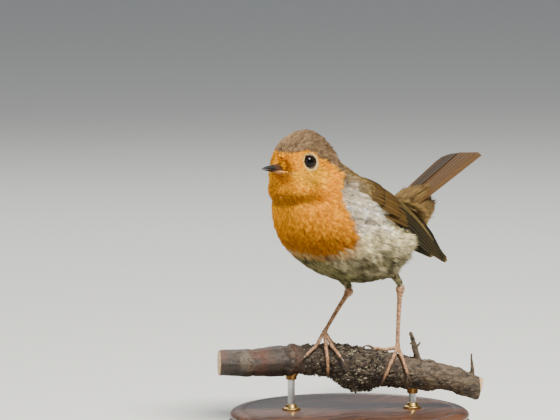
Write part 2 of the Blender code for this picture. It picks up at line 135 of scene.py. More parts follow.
class Wire:
    """An output of a node in its tree. Arithmetic on wires adds maths nodes, vector maths on vectors."""

    def __init__(self, tree, socket):
        self.tree, self.socket = tree, socket
        self.flat = socket.type not in ("VECTOR", "RGBA")

    def maths(self, operation, *values):
        kind = "ShaderNodeMath" if self.flat else "ShaderNodeVectorMath"
        output = "Value" if operation in ("LENGTH", "DOT_PRODUCT") else 0
        return wired(self.tree, kind, enumerate((self, *values)), output, operation=operation)

    def __add__(self, other):
        return self.maths("ADD", other)

    def __sub__(self, other):
        return self.maths("SUBTRACT", other)

    def __rsub__(self, other):
        return wired(self.tree, "ShaderNodeMath", {0: other, 1: self}, operation="SUBTRACT")

    def __mul__(self, other):
        if self.flat or isinstance(other, tuple):
            return self.maths("MULTIPLY", other)
        return wired(self.tree, "ShaderNodeVectorMath", {0: self, "Scale": other}, operation="SCALE")

    def __truediv__(self, other):
        return self.maths("DIVIDE", other)

    def __pow__(self, other):
        return self.maths("POWER", other)

    def __abs__(self):
        return self.maths("ABSOLUTE")

    def maximum(self, *others):
        most = self
        for other in others:
            most = most.maths("MAXIMUM", other)
        return most

    def length(self):
        return self.maths("LENGTH")

    def split(self):
        return wires(self.tree, "ShaderNodeSeparateXYZ", {0: self}).values()

    def band(self, low, high, out_low=0.0, out_high=1.0):
        """A smooth step of the value between low and high."""
        values = {"Value": self, "From Min": low, "From Max": high, "To Min": out_low, "To Max": out_high}
        return wired(self.tree, "ShaderNodeMapRange", values, interpolation_type="SMOOTHSTEP")

    def noise(self, scale, detail=3.0, rough=0.55, output="Fac", distortion=0.0):
        values = {"Vector": self, "Scale": scale, "Detail": detail, "Roughness": rough}
        return wired(self.tree, "ShaderNodeTexNoise", values | {"Distortion": distortion}, output)

    def cells(self, scale, **settings):
        values = {"Vector": self, "Scale": scale}
        return wired(self.tree, "ShaderNodeTexVoronoi", values, "Distance", **settings)

    def mix(self, first, second):
        """From the first colour at 0 to the second at 1."""
        return wired(self.tree, "ShaderNodeMix", {0: self, 6: first, 7: second}, 2, data_type="RGBA")

    def shaded(self, value, hue=0.5):
        """The colour made lighter or darker."""
        return wired(self.tree, "ShaderNodeHueSaturation", {"Hue": hue, "Value": value, "Color": self})

    def store(self, name, value, kind="FLOAT", domain="POINT"):
        """Geometry that keeps a value under a name."""
        values = {"Geometry": self, "Name": name, "Value": value}
        return wired(self.tree, "GeometryNodeStoreNamedAttribute", values, data_type=kind, domain=domain)


def node(tree, kind, values=(), **settings):
    """Adds a node, sets its properties, and fills its inputs by name or number with values or wires."""
    made = tree.nodes.new(kind)
    for name, value in settings.items():
        setattr(made, name, value)
    for key, value in dict(values).items():
        if isinstance(value, Wire):
            tree.links.new(value.socket, made.inputs[key])
        else:
            made.inputs[key].default_value = value
    return made


def wired(tree, kind, values=(), output=0, **settings):
    return Wire(tree, node(tree, kind, values, **settings).outputs[output])


def wires(tree, kind, values=(), **settings):
    """All of a new node's outputs by name."""
    return {socket.name: Wire(tree, socket) for socket in node(tree, kind, values, **settings).outputs}


def new_group(name, kind, inputs, outputs):
    """A node group; an input is given by its default, or by its kind of socket where it has none."""
    tree = bpy.data.node_groups.new(name, kind)
    for key, value in inputs.items():
        what = value if isinstance(value, str) else type(value).__name__.title()
        socket = tree.interface.new_socket(name=key, in_out="INPUT", socket_type="NodeSocket" + what)
        if what != value:
            socket.default_value = value
    for key, what in outputs.items():
        tree.interface.new_socket(name=key, in_out="OUTPUT", socket_type="NodeSocket" + what)
    return tree, wires(tree, "NodeGroupInput"), tree.nodes.new("NodeGroupOutput").inputs


def geometry_group(name, **inputs):
    inputs = {"Geometry": "Geometry"} | inputs | {"Finish": "Material"}
    return new_group(name, "GeometryNodeTree", inputs, {"Geometry": "Geometry"})


def closed_group(made, given, out, smooth=True):
    """Ends a geometry group: realized, shaded smooth if asked, and with its material set."""
    tree = made.tree
    if smooth:
        made = wired(tree, "GeometryNodeSetShadeSmooth", {"Geometry": made, "Shade Smooth": True})
    made = wired(tree, "GeometryNodeRealizeInstances", {"Geometry": made})
    made = wired(tree, "GeometryNodeSetMaterial", {"Geometry": made, "Material": given["Finish"]})
    tree.links.new(made.socket, out[0])
    return tree


def named(tree, name, kind="FLOAT"):
    return wired(tree, "GeometryNodeInputNamedAttribute", {"Name": name}, "Attribute", data_type=kind)


def position(tree):
    return wired(tree, "GeometryNodeInputPosition")


def combined(tree, x, y, z=0.0):
    return wired(tree, "ShaderNodeCombineXYZ", {"X": x, "Y": y, "Z": z})


def pushed_out(geometry, distance):
    """Geometry moved along its normals."""
    shift = wired(geometry.tree, "GeometryNodeInputNormal") * distance
    return wired(geometry.tree, "GeometryNodeSetPosition", {"Geometry": geometry, "Offset": shift})


def scattered(tree, given, chosen, kinds, density):
    """Points over the chosen faces, at a spacing, and the collection whose pieces go on them."""
    values = {
        "Mesh": given["Geometry"],
        "Selection": chosen,
        "Distance Min": given["Spacing"],
        "Density Max": density,
        "Seed": given["Seed"],
    }
    roots = wires(tree, "GeometryNodeDistributePointsOnFaces", values, distribute_method="POISSON")
    values = {"Collection": given[kinds], "Separate Children": True, "Reset Children": True}
    return roots, wired(tree, "GeometryNodeCollectionInfo", values)


def turned_to(tree, upward, along, lean):
    """A turn that stands a piece on its root, facing along, and then leans it by three angles."""
    axes = {"Primary Axis": upward, "Secondary Axis": along}
    base = wired(tree, "FunctionNodeAxesToRotation", axes, primary_axis="Z", secondary_axis="X")
    lean = wired(tree, "FunctionNodeEulerToRotation", {0: lean})
    both = {"Rotation": base, "Rotate By": lean}
    return wired(tree, "FunctionNodeRotateRotation", both, rotation_space="LOCAL")


def planted(tree, points, kinds, pick, rotation, scale):
    """The pieces of a collection, each picked by number, on their points."""
    values = {
        "Points": points,
        "Instance": kinds,
        "Pick Instance": True,
        "Instance Index": pick,
        "Rotation": rotation,
        "Scale": scale,
    }
    made = wired(tree, "GeometryNodeInstanceOnPoints", values)
    return wired(tree, "GeometryNodeRealizeInstances", {"Geometry": made})


def facing_curves(tree, given, step=None):
    """The rails as curves whose normals are their facings, with points at even steps if asked."""
    curves = wired(tree, "GeometryNodeMeshToCurve", {"Mesh": given["Geometry"]})
    if step:
        curves = wired(tree, "GeometryNodeResampleCurve", {"Curve": curves, "Length": step}, mode="LENGTH")
    facing = {"Curve": curves, "Normal": named(tree, "facing", "FLOAT_VECTOR")}
    return wired(tree, "GeometryNodeSetCurveNormal", facing, mode="FREE")


def profile(tree, given):
    return wired(tree, "GeometryNodeCurvePrimitiveCircle", {"Resolution": given["Sides"], "Radius": 1.0})


def swept_mesh(tree, curves, outline):
    values = {"Curve": curves, "Profile Curve": outline, "Fill Caps": True}
    return wired(tree, "GeometryNodeCurveToMesh", values | {"Scale": named(tree, "half_width")})


# ---------------------------------------------------------------- pieces

def linked(name, data):
    made = bpy.data.objects.new(name, data)
    bpy.context.scene.collection.objects.link(made)
    return made


def piece(name, mesh):
    mesh.name = name
    return linked(name, mesh)


def mesh_of(bm, name, smooth=True):
    """A mesh from bm, which is used up."""
    mesh = bpy.data.meshes.new(name)
    bm.to_mesh(mesh)
    bm.free()
    if smooth:
        mesh.shade_smooth()
    return mesh


def baked(holder, name):
    """The holder's evaluated shape as a plain mesh piece; the holder itself is removed."""
    bpy.context.view_layer.update()
    graph = bpy.context.evaluated_depsgraph_get()
    mesh = bpy.data.meshes.new_from_object(
        holder.evaluated_get(graph), preserve_all_data_layers=True, depsgraph=graph
    )
    bpy.data.objects.remove(holder, do_unlink=True)
    return piece(name, mesh)


def grown(name, holder, tree, **values):
    """What a geometry group makes of a holder, as a plain mesh piece."""
    modifier = holder.modifiers.new(tree.name, "NODES")
    modifier.node_group = tree
    for item in tree.interface.items_tree:
        if item.item_type == "SOCKET" and item.in_out == "INPUT" and item.name in values:
            modifier[item.identifier] = values[item.name]
    return baked(holder, name)


def smoothed(holder, name, iterations):
    """A baked holder after rounds of smoothing."""
    even = holder.modifiers.new("even", "SMOOTH")
    even.factor = 0.5
    even.iterations = iterations
    return baked(holder, name)


def settle(made, slot, *nodes, finish=None):
    """Says which body a finished piece rides on, its finish, and which CAD nodes it stands for."""
    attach(made, "root")
    if nodes:
        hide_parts(*nodes)
    if finish:
        made.data.materials.append(finish)
    return made


def cad_copy(bm, name, push=0.0):
    """Adds a CAD node's solid to bm, its doubles merged and its faces pushed outwards."""
    part = bmesh.new()
    part.from_mesh(frame["nodes"][name].data)
    bmesh.ops.remove_doubles(part, verts=part.verts, dist=0.01 * MM)
    part.normal_update()
    for vert in part.verts:
        vert.co += vert.normal * push
    mesh = mesh_of(part, name, smooth=False)
    bm.from_mesh(mesh)
    bpy.data.meshes.remove(mesh)


def remeshed(name, bm, voxel, smoothing):
    """One closed skin round everything in bm."""
    holder = piece(name + "_rough", mesh_of(bm, name, smooth=False))
    wrap = holder.modifiers.new("wrap", "REMESH")
    wrap.mode = "VOXEL"
    wrap.voxel_size = voxel
    return smoothed(holder, name, smoothing)


def loft(bm, rings, looped=False):
    """Skins rings of points, all turning the same way, and closes both ends or joins them."""
    rows = [[bm.verts.new(p) for p in ring] for ring in rings]
    for first, second in zip(rows, rows[1:] + rows[:1] * looped):
        for k in range(len(first)):
            after = (k + 1) % len(first)
            bm.faces.new((first[k], first[after], second[after], second[k]))
    for row in () if looped else (rows[0], rows[-1]):
        middle = bm.verts.new(sum((v.co for v in row), Vector()) / len(row))
        for k in range(len(row)):
            bm.faces.new((row[k], row[(k + 1) % len(row)], middle))


def closed_piece(name, bm, levels=0):
    """A finished mesh piece: normals outwards, smooth, and subdivided if asked."""
    bmesh.ops.recalc_face_normals(bm, faces=bm.faces)
    made = piece(name, mesh_of(bm, name))
    if levels:
        round_off = made.modifiers.new("round_off", "SUBSURF")
        round_off.levels = round_off.render_levels = levels
    return made


def lofted_piece(name, rings, levels=0, looped=False):
    bm = bmesh.new()
    loft(bm, rings, looped)
    return closed_piece(name, bm, levels)


def kinds_of(name, count, make):
    """A collection of like pieces, each a little different."""
    group = bpy.data.collections.new(name)
    for k in range(count):
        group.objects.link(bpy.data.objects.new(f"{name}_{k}", make(f"{name}_{k}", k)))
    return group


def remove_kinds(group):
    for kind in list(group.objects):
        bpy.data.objects.remove(kind)
    bpy.data.collections.remove(group)


def vert_array(mesh, what="co"):
    values = np.empty(len(mesh.vertices) * 3)
    if what == "co":
        mesh.vertices.foreach_get("co", values)
    else:
        mesh.vertex_normals.foreach_get("vector", values)
    return values.reshape(-1, 3)


def keep(mesh, name, values, kind="FLOAT", domain="POINT"):
    """Keeps values on a mesh as a named attribute."""
    layer = mesh.attributes.new(name, kind, domain)
    values = np.ascontiguousarray(values).ravel()
    layer.data.foreach_set("vector" if kind == "FLOAT_VECTOR" else "value", values)


# ---------------------------------------------------------------- places on the bird

def ball_of(node_name):
    """Centre and radius of a round CAD node."""
    low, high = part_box(node_name)
    return (low + high) / 2, (high.z - low.z) / 2


def upper_end(node_name):
    """The upper end of a straight tube's axis."""
    points = vert_array(frame["nodes"][node_name].data)
    middle = points.mean(0)
    axis = np.linalg.svd(points - middle, full_matrices=False)[2][0]
    axis *= np.sign(axis[2])
    return Vector(middle + axis * ((points - middle) @ axis).max())


EYES = {side: ball_of("eye_" + side) for side, _ in SIDES}
ANKLES = {side: upper_end("tarsus_" + side) for side, _ in SIDES}
BILL_ROOT = head_turned((-31.0, 0, 75.6))
TAIL_BASE = bird(38.0, 3.0, 58.0)
WRISTS = {side: bird(-9, 16 * sign, 71) for side, sign in SIDES}
WING_TIPS = {side: bird(49, 8 * sign, 34.3) for side, sign in SIDES}

# Regions of the coat, one number for each face of the skin
REGIONS = ("face", "crown", "breast", "belly", "flank", "back", "wing", "rump", "shin", "plume")

# The back edge of the orange, as height and place along the bird
ORANGE_EDGE = (
    (38.0, -34.0), (40.5, -21.0), (42.2, -12.5), (44.0, -8.4), (46.8, -5.6), (52.4, -7.4), (58.5, -9.8),
    (65.8, -11.2), (72.0, -9.6), (75.8, -10.8), (78.6, -14.6), (81.0, -18.2), (83.0, -21.0), (84.8, -27.0),
    (86.5, -36.0),
)

# The top edge of the orange on the forehead, as place along the bird and height
FOREHEAD_EDGE = (
    (-34.0, 80.5), (-31.6, 81.4), (-30.6, 82.3), (-29.6, 82.9), (-27.0, 83.3), (-23.5, 84.0), (-20.0, 85.0),
    (-14.0, 90.0),
)


def bird_frame(points):
    """Points of the frame in the bird's millimetres."""
    return (points - np.array(BIRD_ZERO)) / MM


def away_from(p, point):
    """How far places in the bird's millimetres lie from a point of the frame."""
    return np.linalg.norm(p - bird_frame(np.array(point)), axis=1)


def orange_depth(p):
    """How far a place lies inside the orange of the face and breast, in millimetres."""
    rows = np.array(ORANGE_EDGE)
    return np.interp(p[:, 2], rows[:, 0], rows[:, 1]) - p[:, 0]


def wing_share(p):
    """1 on the folded wings, falling to 0 away from them."""
    share = np.zeros(len(p))
    for side, _ in SIDES:
        start, end = bird_frame(np.array([WRISTS[side], WING_TIPS[side]]))
        along = np.clip(((p - start) @ (end - start)) / ((end - start) @ (end - start)), 0, 1)
        away = np.linalg.norm(p - start - along[:, None] * (end - start), axis=1)
        share = np.maximum(share, ease((9.5 - away) / 4.0) * ease((p[:, 0] + 12) / 5))
    return share


def head_share(p):
    """1 on the head, 0 on the body, soft in between."""
    ahead = -0.905 * (p[:, 0] + 12.5) + 0.424 * (p[:, 2] - 90.3)
    return ease((ahead + 4.0) / 8.0)


def bill_share(p):
    """1 where the short feathers at the root of the bill stand forward round it."""
    return ease((5.6 - away_from(p, BILL_ROOT)) / 3.2)


def shin_share(p):
    share = np.zeros(len(p))
    for ankle in ANKLES.values():
        near = away_from(p, ankle + Vector((-2.0, 0, 3.5)) * MM)
        share = np.maximum(share, ease((7.5 - near) / 3.0))
    return share * (p[:, 2] < 34)


def regions_of(p):
    """The region of each place on the skin; a later row goes over the ones before it."""
    x, z, side = p[:, 0], p[:, 2], np.abs(p[:, 1])
    head = head_share(p) > 0.5
    below_wing = np.abs(z - (61.0 - 0.78 * x)) < 2.3
    region = np.full(len(p), REGIONS.index("belly"))
    for name, inside in (
        ("flank", side > 11),
        ("back", z > 56 - 0.35 * x + 0.25 * (side - 12)),
        ("rump", x > 29),
        ("wing", wing_share(p) > 0.5),
        ("breast", orange_depth(p) > 0),
        ("crown", head),
        ("face", head & (z < 84.5)),
        ("shin", shin_share(p) > 0.4),
        ("plume", below_wing & (side > 15) & (np.abs(x - 0.5) < 7)),
    ):
        region[inside] = REGIONS.index(name)
    return region


def coat_depth(p):
    """How deep the skin lies under the outline: thin on the face, thickest on the flanks."""
    x, z, head = p[:, 0], p[:, 2], head_share(p)
    depth = 1.7 + 0.5 * ease((np.abs(p[:, 1]) - 8) / 8) - 0.55 * ease((z - 60) / 10)
    depth = blend(depth, 0.9, wing_share(p))
    depth = blend(depth, 0.75, head)
    depth = blend(depth, 0.45, ease((-24 - x) / 6) * head)
    depth = blend(depth, 0.7, ease((x - 27) / 5) * ease((z - 50) / 5))
    return blend(depth, 0.5, shin_share(p))


def face_folds(p):
    """Depth of the soft fold of the plumage under the cheeks; the cheeks over it swell out."""
    rise = p[:, 2] - 0.22 * p[:, 0]
    folds = 0.85 * np.exp(-(((rise - 70.0) / 1.7) ** 2)) - 0.55 * np.exp(-(((rise - 74.2) / 2.6) ** 2))
    return folds * ease((-15 - p[:, 0]) / 8)


def hollows(p):
    """1 in the narrow hollows between clumps of loose feathers on the flanks and belly, 0 on the clumps."""
    loose = ease((62 - 0.6 * p[:, 0] - p[:, 2]) / 8) * (1 - shin_share(p)) * (1 - wing_share(p))
    loose *= 1 - 0.65 * ease(orange_depth(p) / 3)
    rise = np.array([noise.noise(Vector(q)) for q in p * np.array((0.105, 0.15, 0.2))])
    fine = np.array([noise.noise(Vector(q)) for q in p * np.array((0.24, 0.3, 0.42)) + 7.0])
    return loose * ease((0.17 - np.abs(rise + 0.3 * fine)) / 0.17)


def lie_of(places, normals):
    """Which way the feathers point, and which way is up from them: away from the bill, towards the tail, and
    down the legs."""
    p = bird_frame(places)
    x, side = p[:, 0:1], p[:, 1:2]
    wing, shin = wing_share(p)[:, None], shin_share(p)[:, None]
    tail = np.array(tail_axes()[0])
    from_bill = places - np.array(BILL_ROOT)
    to_tail = np.array(TAIL_BASE) - places
    far = np.linalg.norm(from_bill, axis=1, keepdims=True)
    near_tail = np.linalg.norm(to_tail, axis=1, keepdims=True)
    lie = from_bill / (far + 2 * MM) ** 2 + 0.9 * to_tail / (near_tail + 12 * MM) ** 2
    lie /= np.linalg.norm(lie, axis=1, keepdims=True)
    for name, sign in SIDES:
        along = np.array((WING_TIPS[name] - WRISTS[name]).normalized())
        lie = blend(lie, along, 0.85 * wing * (side * sign > 0))
        lie = blend(lie, np.array((0.1, 0, -1.0)), shin * (side * sign > 0))
    lie = blend(lie, tail, ease((x - 20) / 10) * (1 - shin))
    lie = unit_rows(lie - normals * np.sum(lie * normals, axis=1, keepdims=True))

    rear = ease((x - 30) / 5) * (1 - shin)
    ruff = bill_share(p)[:, None]
    forward = np.array(HEAD_TURN @ Vector((-0.98, 0, 0.12)))
    lie = blend(blend(lie, tail, rear), forward + 0.3 * normals, ruff)
    lie = unit_rows(lie - normals * np.minimum(np.sum(lie * normals, axis=1, keepdims=True), 0))
    upward = normals + np.array((0, 0, 0.25)) * np.maximum(rear, ruff)
    return lie, unit_rows(upward - lie * np.sum(upward * lie, axis=1, keepdims=True))


def coat_fields(p):
    """Length and width of the feather tufts, in millimetres, and how far they stand off."""
    x, z = p[:, 0], p[:, 2]
    head, wing, shin = head_share(p), wing_share(p), shin_share(p)
    side, low = ease((np.abs(p[:, 1]) - 9) / 8), ease((58 - z) / 14)
    front = ease((-8 - x) / 10) * (1 - head)
    behind = ease((x - 17) / 7) * (1 - shin)
    length = 4.5 + 3.6 * side * low + 0.8 * ease((x - 12) / 14)
    length = blend(blend(length, 4.0, front), 2.6, head)
    length = blend(length, 1.3, head * ease((15 - away_from(p, BILL_ROOT)) / 11))
    length = blend(length, 2.5 + 1.6 * ease((z - 76.5) / 1.5), bill_share(p))
    for centre, _ in EYES.values():
        by_eye = away_from(p, centre)
        length = blend(length, 1.1, ease((8.0 - by_eye) / 4.5))
        length = blend(length, 0.75, ease((4.8 - by_eye) / 1.2))
    length = blend(blend(length, 4.2, wing * 0.7), 2.2, shin)
    length = blend(length, 3.4, behind * side)
    length = length + 2.6 * ease((x - 31) / 6) * ease((z - 47) / 8) * (1 - shin)
    wrist = ease((6 - np.hypot(x + 11.5, z - 71)) / 3) * ease((np.abs(p[:, 1]) - 10) / 3)
    length = length + 1.6 * wrist
    lift = (0.10 + 0.2 * side * low + 0.05 * front) * (1 - 0.75 * behind) + 0.12 * wrist
    return length, 0.32 + 0.09 * length, lift


# ---------------------------------------------------------------- skin

def make_skin():
    """One closed skin for the bird's flesh, with the coat's directions and sizes kept on it."""
    bm = bmesh.new()
    for name in FLESH:
        cad_copy(bm, name, CLOSING)
    for centre, radius in EYES.values():
        filling = Matrix.Translation(centre)
        bmesh.ops.create_uvsphere(bm, u_segments=24, v_segments=14, radius=radius * 0.9, matrix=filling)
    along, across, upward = tail_axes()
    for vert in bmesh.ops.create_cube(bm, size=1)["verts"]:
        share, half, deep = vert.co.x + 0.5, vert.co.y, vert.co.z * (1 if vert.co.x < 0 else 0.5)
        out = along * share * TAIL_WEDGE.x + across * half * TAIL_WEDGE.y + upward * deep * TAIL_WEDGE.z
        vert.co = TAIL_ROOT + out
    skin = remeshed("skin", bm, VOXEL, SKIN_SMOOTHING)
    places, even = vert_array(skin.data), vert_array(skin.data, "normal")
    p = bird_frame(places)
    sink = coat_depth(p) + CLOSING / MM + face_folds(p) + 0.95 * hollows(p)
    for centre, _ in EYES.values():
        sink += 0.85 * ease((4.6 - away_from(p, centre)) / 1.6)
    skin.data.vertices.foreach_set("co", (places - even * sink[:, None] * MM).ravel())
    skin.data.update()
    skin = smoothed(skin, "skin", 8)
    mesh = skin.data
    mesh.shade_smooth()

    places = vert_array(mesh)
    p = bird_frame(places)
    length, width, lift = coat_fields(p)
    lie, upward = lie_of(places, even)
    keep(mesh, "lie", lie, "FLOAT_VECTOR")
    keep(mesh, "upward", upward, "FLOAT_VECTOR")
    keep(mesh, "hollow", hollows(p))
    keep(mesh, "tuft_length", length * MM)
    keep(mesh, "tuft_width", width * MM)
    keep(mesh, "tuft_lift", lift)
    centres = np.empty(len(mesh.polygons) * 3)
    mesh.polygons.foreach_get("center", centres)
    keep(mesh, "region", regions_of(bird_frame(centres.reshape(-1, 3))), "INT", "FACE")
    unwrap(skin)
    return skin


def unwrap(made):
    """Unfolds the piece's own shape into its map."""
    made.data.uv_layers.new(name="OFBake")
    bpy.ops.object.select_all(action="DESELECT")
    bpy.context.view_layer.objects.active = made
    made.select_set(True)
    bpy.ops.object.mode_set(mode="EDIT")
    bpy.ops.mesh.select_all(action="SELECT")
    bpy.ops.uv.smart_project(angle_limit=math.radians(70), island_margin=0.004)
    bpy.ops.object.mode_set(mode="OBJECT")
    made.select_set(False)


# ---------------------------------------------------------------- coat of feathers

TUFT_KINDS = 5
TUFT_DENSITY = 9e6  # tufts tried for each square metre, before the spacing thins them
BAKE_PATCH = 0.003  # how much of the skin's map each tuft covers

# Coat pieces: region, blades of a tuft, spacing and thickness in millimetres, length, lift and stray
COATS = (
    ("face", 3, 0.40, 0.09, 1.0, 0.9, 0.20),
    ("crown", 3, 0.44, 0.10, 1.0, 0.7, 0.16),
    ("breast", 4, 0.56, 0.13, 1.0, 0.8, 0.18),
    ("belly", 4, 0.58, 0.13, 1.0, 0.55, 0.15),
    ("flank", 4, 0.64, 0.14, 1.0, 0.75, 0.2),
    ("back", 4, 0.66, 0.14, 1.0, 0.8, 0.18),
    ("wing", 4, 0.68, 0.12, 1.0, 0.6, 0.14),
    ("rump", 4, 0.64, 0.14, 1.0, 0.8, 0.2),
    ("shin", 3, 0.45, 0.11, 1.0, 0.8, 0.2),
    ("plume", 4, 0.6, 0.14, 1.55, 0.8, 0.2),
)


def tuft(name, blades, spread, seed):
    """A tuft one unit long: thin three-sided blades that fan from one root and curve over."""
    rng = random.Random(seed)
    steps = blades - 1
    bm = bmesh.new()
    patch = bm.loops.layers.uv.new("tuft_map")
    for b in range(blades):
        turn = spread * (b / (blades - 1) - 0.5) * 2 + rng.uniform(-0.06, 0.06)
        reach = rng.uniform(0.78, 1.0)
        side = (b - (blades - 1) / 2) / blades * 0.9
        high = rng.uniform(0.0, 0.6)
        half = 0.52 / blades * rng.uniform(0.85, 1.25)
        rings = []
        for s in range(steps + 1):
            u = s / steps
            x = reach * u
            y = side + math.sin(turn) * u * 1.6
            z = high + 1.2 * u * (1 - 0.75 * u)
            w = half * (0.7 + 0.9 * u * (1 - u) * 1.4)
            corners = ((0, -0.1),) if s == steps else ((-w, 0.0), (w, 0.0), (0.0, 0.55))
            rings.append([bm.verts.new((x, y + dy, z + dz)) for dy, dz in corners])
        bm.faces.new(rings[0][::-1])
        for first, second in zip(rings, rings[1:]):
            for k in range(3):
                after = (k + 1) % 3
                far = (second[0],) if len(second) == 1 else (second[after], second[k])
                bm.faces.new((first[k], first[after], *far))
    bmesh.ops.recalc_face_normals(bm, faces=bm.faces)
    for face in bm.faces:
        for loop in face.loops:
            loop[patch].uv = (loop.vert.co.x, 0.5 + 0.4 * loop.vert.co.y)
    return mesh_of(bm, name)


def coat_tree():
    """Feather tufts over one region of the skin, leaning along its lie."""
    tree, given, out = geometry_group(
        "feather coat", Tufts="Collection", Region=0, Spacing=0.8 * MM, Thickness=0.16 * MM, Length=1.0,
        Lift=1.0, Stray=0.22, Paint=0.55, Seed=1,
    )

    def stray(low, high, step, kind="FLOAT"):
        seed = wired(tree, "FunctionNodeIntegerMath", {0: given["Seed"], 1: step}, operation="ADD")
        first = {"FLOAT": 2, "INT": 4}[kind]
        values = {first: low, first + 1: high, "Seed": seed}
        return wired(tree, "FunctionNodeRandomValue", values, first // 2, data_type=kind)

    here = {2: named(tree, "region", "INT"), 3: given["Region"]}
    here = wired(tree, "FunctionNodeCompare", here, data_type="INT", operation="EQUAL")
    roots, kinds = scattered(tree, given, here, "Tufts", TUFT_DENSITY)
    lie, upward = (named(tree, name, "FLOAT_VECTOR") for name in ("lie", "upward"))
    length = named(tree, "tuft_length") * given["Length"]
    points = roots["Points"].store("root", position(tree) + lie * (length * given["Paint"]), "FLOAT_VECTOR")
    points = points.store("tuft_shade", stray(0.0, 1.0, 11))
    points = points.store("root_map", named(tree, "OFBake", "FLOAT_VECTOR"), "FLOAT_VECTOR")
    rise = named(tree, "tuft_lift") * given["Lift"] * stray(-1.7, -0.4, 5)
    swing = given["Stray"] * stray(-1.0, 1.0, 6)
    roll = given["Stray"] * stray(-1.2, 1.2, 7)
    turned = turned_to(tree, upward, lie, combined(tree, roll, rise, swing))
    size = combined(tree, length * stray(0.78, 1.18, 8), named(tree, "tuft_width"), given["Thickness"])
    tufts = planted(tree, points, kinds, stray(0, TUFT_KINDS - 1, 9, "INT"), turned, size)
    local = named(tree, "tuft_map", "FLOAT_VECTOR")
    tip, _, _ = local.split()
    patch = named(tree, "root_map", "FLOAT_VECTOR") + (local - (0.5, 0.5, 0.0)) * BAKE_PATCH
    tufts = tufts.store("tip", tip).store("OFBake", patch, "FLOAT2", "CORNER")
    return closed_group(tufts, given, out, smooth=False)


def make_coat(skin, finish):
    kinds = {}
    for blades, name, spread in ((3, "fine_tuft", 0.22), (4, "plume_tuft", 0.26)):
        kinds[blades] = kinds_of(name, TUFT_KINDS, lambda n, k: tuft(n, blades, spread, 40 + k))
    tree = coat_tree()
    for k, (region, blades, spacing, thickness, length, lift, stray) in enumerate(COATS):
        name = "coat_" + region
        coat = grown(
            name, piece(name, skin.data.copy()), tree, Tufts=kinds[blades], Region=REGIONS.index(region),
            Spacing=spacing * MM, Thickness=thickness * MM, Length=length, Lift=lift, Stray=stray,
            Paint=-0.1 if region == "plume" else 0.55, Seed=20 + k, Finish=finish,
        )
        settle(coat, "plumage_orange" if region in ("face", "breast") else "plumage_pale")
    for group in kinds.values():
        remove_kinds(group)


# ---------------------------------------------------------------- quills

# Left wing, from shoulder to tip: lower edge X Y Z, upper edge X Y Z, thickness, outward bulge
WING_ROWS = np.array([
    (-9.6, -18.2, 67.6, -9.0, -13.4, 73.6, 1.4, 0.9),
    (-1.9, -20.4, 63.2, 2.0, -11.6, 71.8, 2.6, 2.2),
    (4.6, -22.2, 58.0, 9.8, -11.2, 67.6, 3.0, 3.2),
    (12.0, -22.4, 52.8, 17.6, -10.6, 62.0, 3.0, 3.2),
    (21.4, -19.2, 47.6, 26.6, -9.4, 56.6, 2.6, 2.4),
    (31.4, -13.2, 41.6, 37.0, -8.8, 49.4, 2.0, 1.2),
    (40.2, -9.8, 36.9, 44.6, -7.6, 41.4, 1.4, 0.5),
    (48.6, -8.2, 33.4, 49.6, -7.6, 35.2, 0.8, 0.1),
])
FAR_WING_SPREAD = Vector((3.0, 3.2, 0.6))  # how much further out the right wing's tip lies

# Feathers of one wing, each kind a row: how many, place along the wing of the first and last root, place
# across it of the first and last root, the same of their tips, half width, layer of the first and last,
# pale edge
WING_FEATHERS = {
    "primary": (7, (2.7, 2.6), (0.45, -0.84), (5.8, 7.1), (0.86, -0.05), 1.8, (0.30, -0.35), 0.4),
    "secondary": (5, (2.5, 2.6), (0.80, 0.40), (4.9, 5.7), (0.86, 0.86), 2.0, (0.70, 0.36), 1.0),
    "tertial": (3, (2.2, 2.3), (0.85, 0.62), (3.9, 4.9), (0.84, 0.84), 2.3, (1.00, 0.80), 0.9),
    "primary_covert": (6, (2.0, 2.2), (-0.30, -0.85), (3.3, 3.7), (-0.25, -0.72), 1.1, (0.60, 0.35), 0.3),
    "greater_covert": (11, (1.3, 1.5), (0.85, -0.70), (2.7, 3.0), (0.85, -0.66), 1.35, (0.95, 0.70), 0.45),
    "median_covert": (10, (0.7, 0.8), (0.85, -0.70), (1.8, 2.0), (0.85, -0.70), 1.25, (0.95, 0.80), 0.2),
}

# Tail: root, length, rise, swing to the bird's right, roll, the fan's widths and the flesh it grows from
TAIL_ROOT = bird(26.2, 0, 54.2)
TAIL_LENGTH = 48.6
TAIL_RISE = math.radians(26)
TAIL_SWING = math.radians(14)
TAIL_ROLL = math.radians(-10)
TAIL_WIDTHS = (13.0, 22.0)
TAIL_WEDGE = Vector((15.0, 15.5, 10.0)) * MM


def wing_point(t, c, layer, sign):
    """A place on the folded wing and the way its surface faces; layer runs from -1 inside to 1 outside."""
    row, ahead, behind = (smooth_rows(WING_ROWS, place) for place in (t, t + 0.05, t - 0.05))
    low, high = Vector(row[0:3]), Vector(row[3:6])
    axis = (Vector(ahead[0:3]) + Vector(ahead[3:6]) - Vector(behind[0:3]) - Vector(behind[3:6])).normalized()
    chord = high - low
    outward = chord.cross(axis).normalized()
    if outward.y > 0:
        outward.negate()
    face = row[6] / 2 * layer * math.sqrt(1 - 0.85 * c * c)
    place = (low + high) / 2 + chord / 2 * c + outward * (row[7] * (1 - c * c) + face)
    slant = (outward * chord.length / 2 + chord.normalized() * (2 * row[7] * c)).normalized()
    if sign < 0:
        place += FAR_WING_SPREAD * float(ease((t - 3.6) / 3.2))
    return bird(place.x, place.y * sign, place.z), Vector((slant.x, slant.y * sign, slant.z))


def vane_width(u, full, blunt):
    """Half width of a feather a share u along: narrow at the root, rounded at the tip."""
    end = max(0.0, 1 - max(0.0, (u - blunt) / (1 - blunt)) ** 2.4)
    return full * (0.35 + 0.65 * ease(u / 0.25)) * max(math.sqrt(end), 0.04)


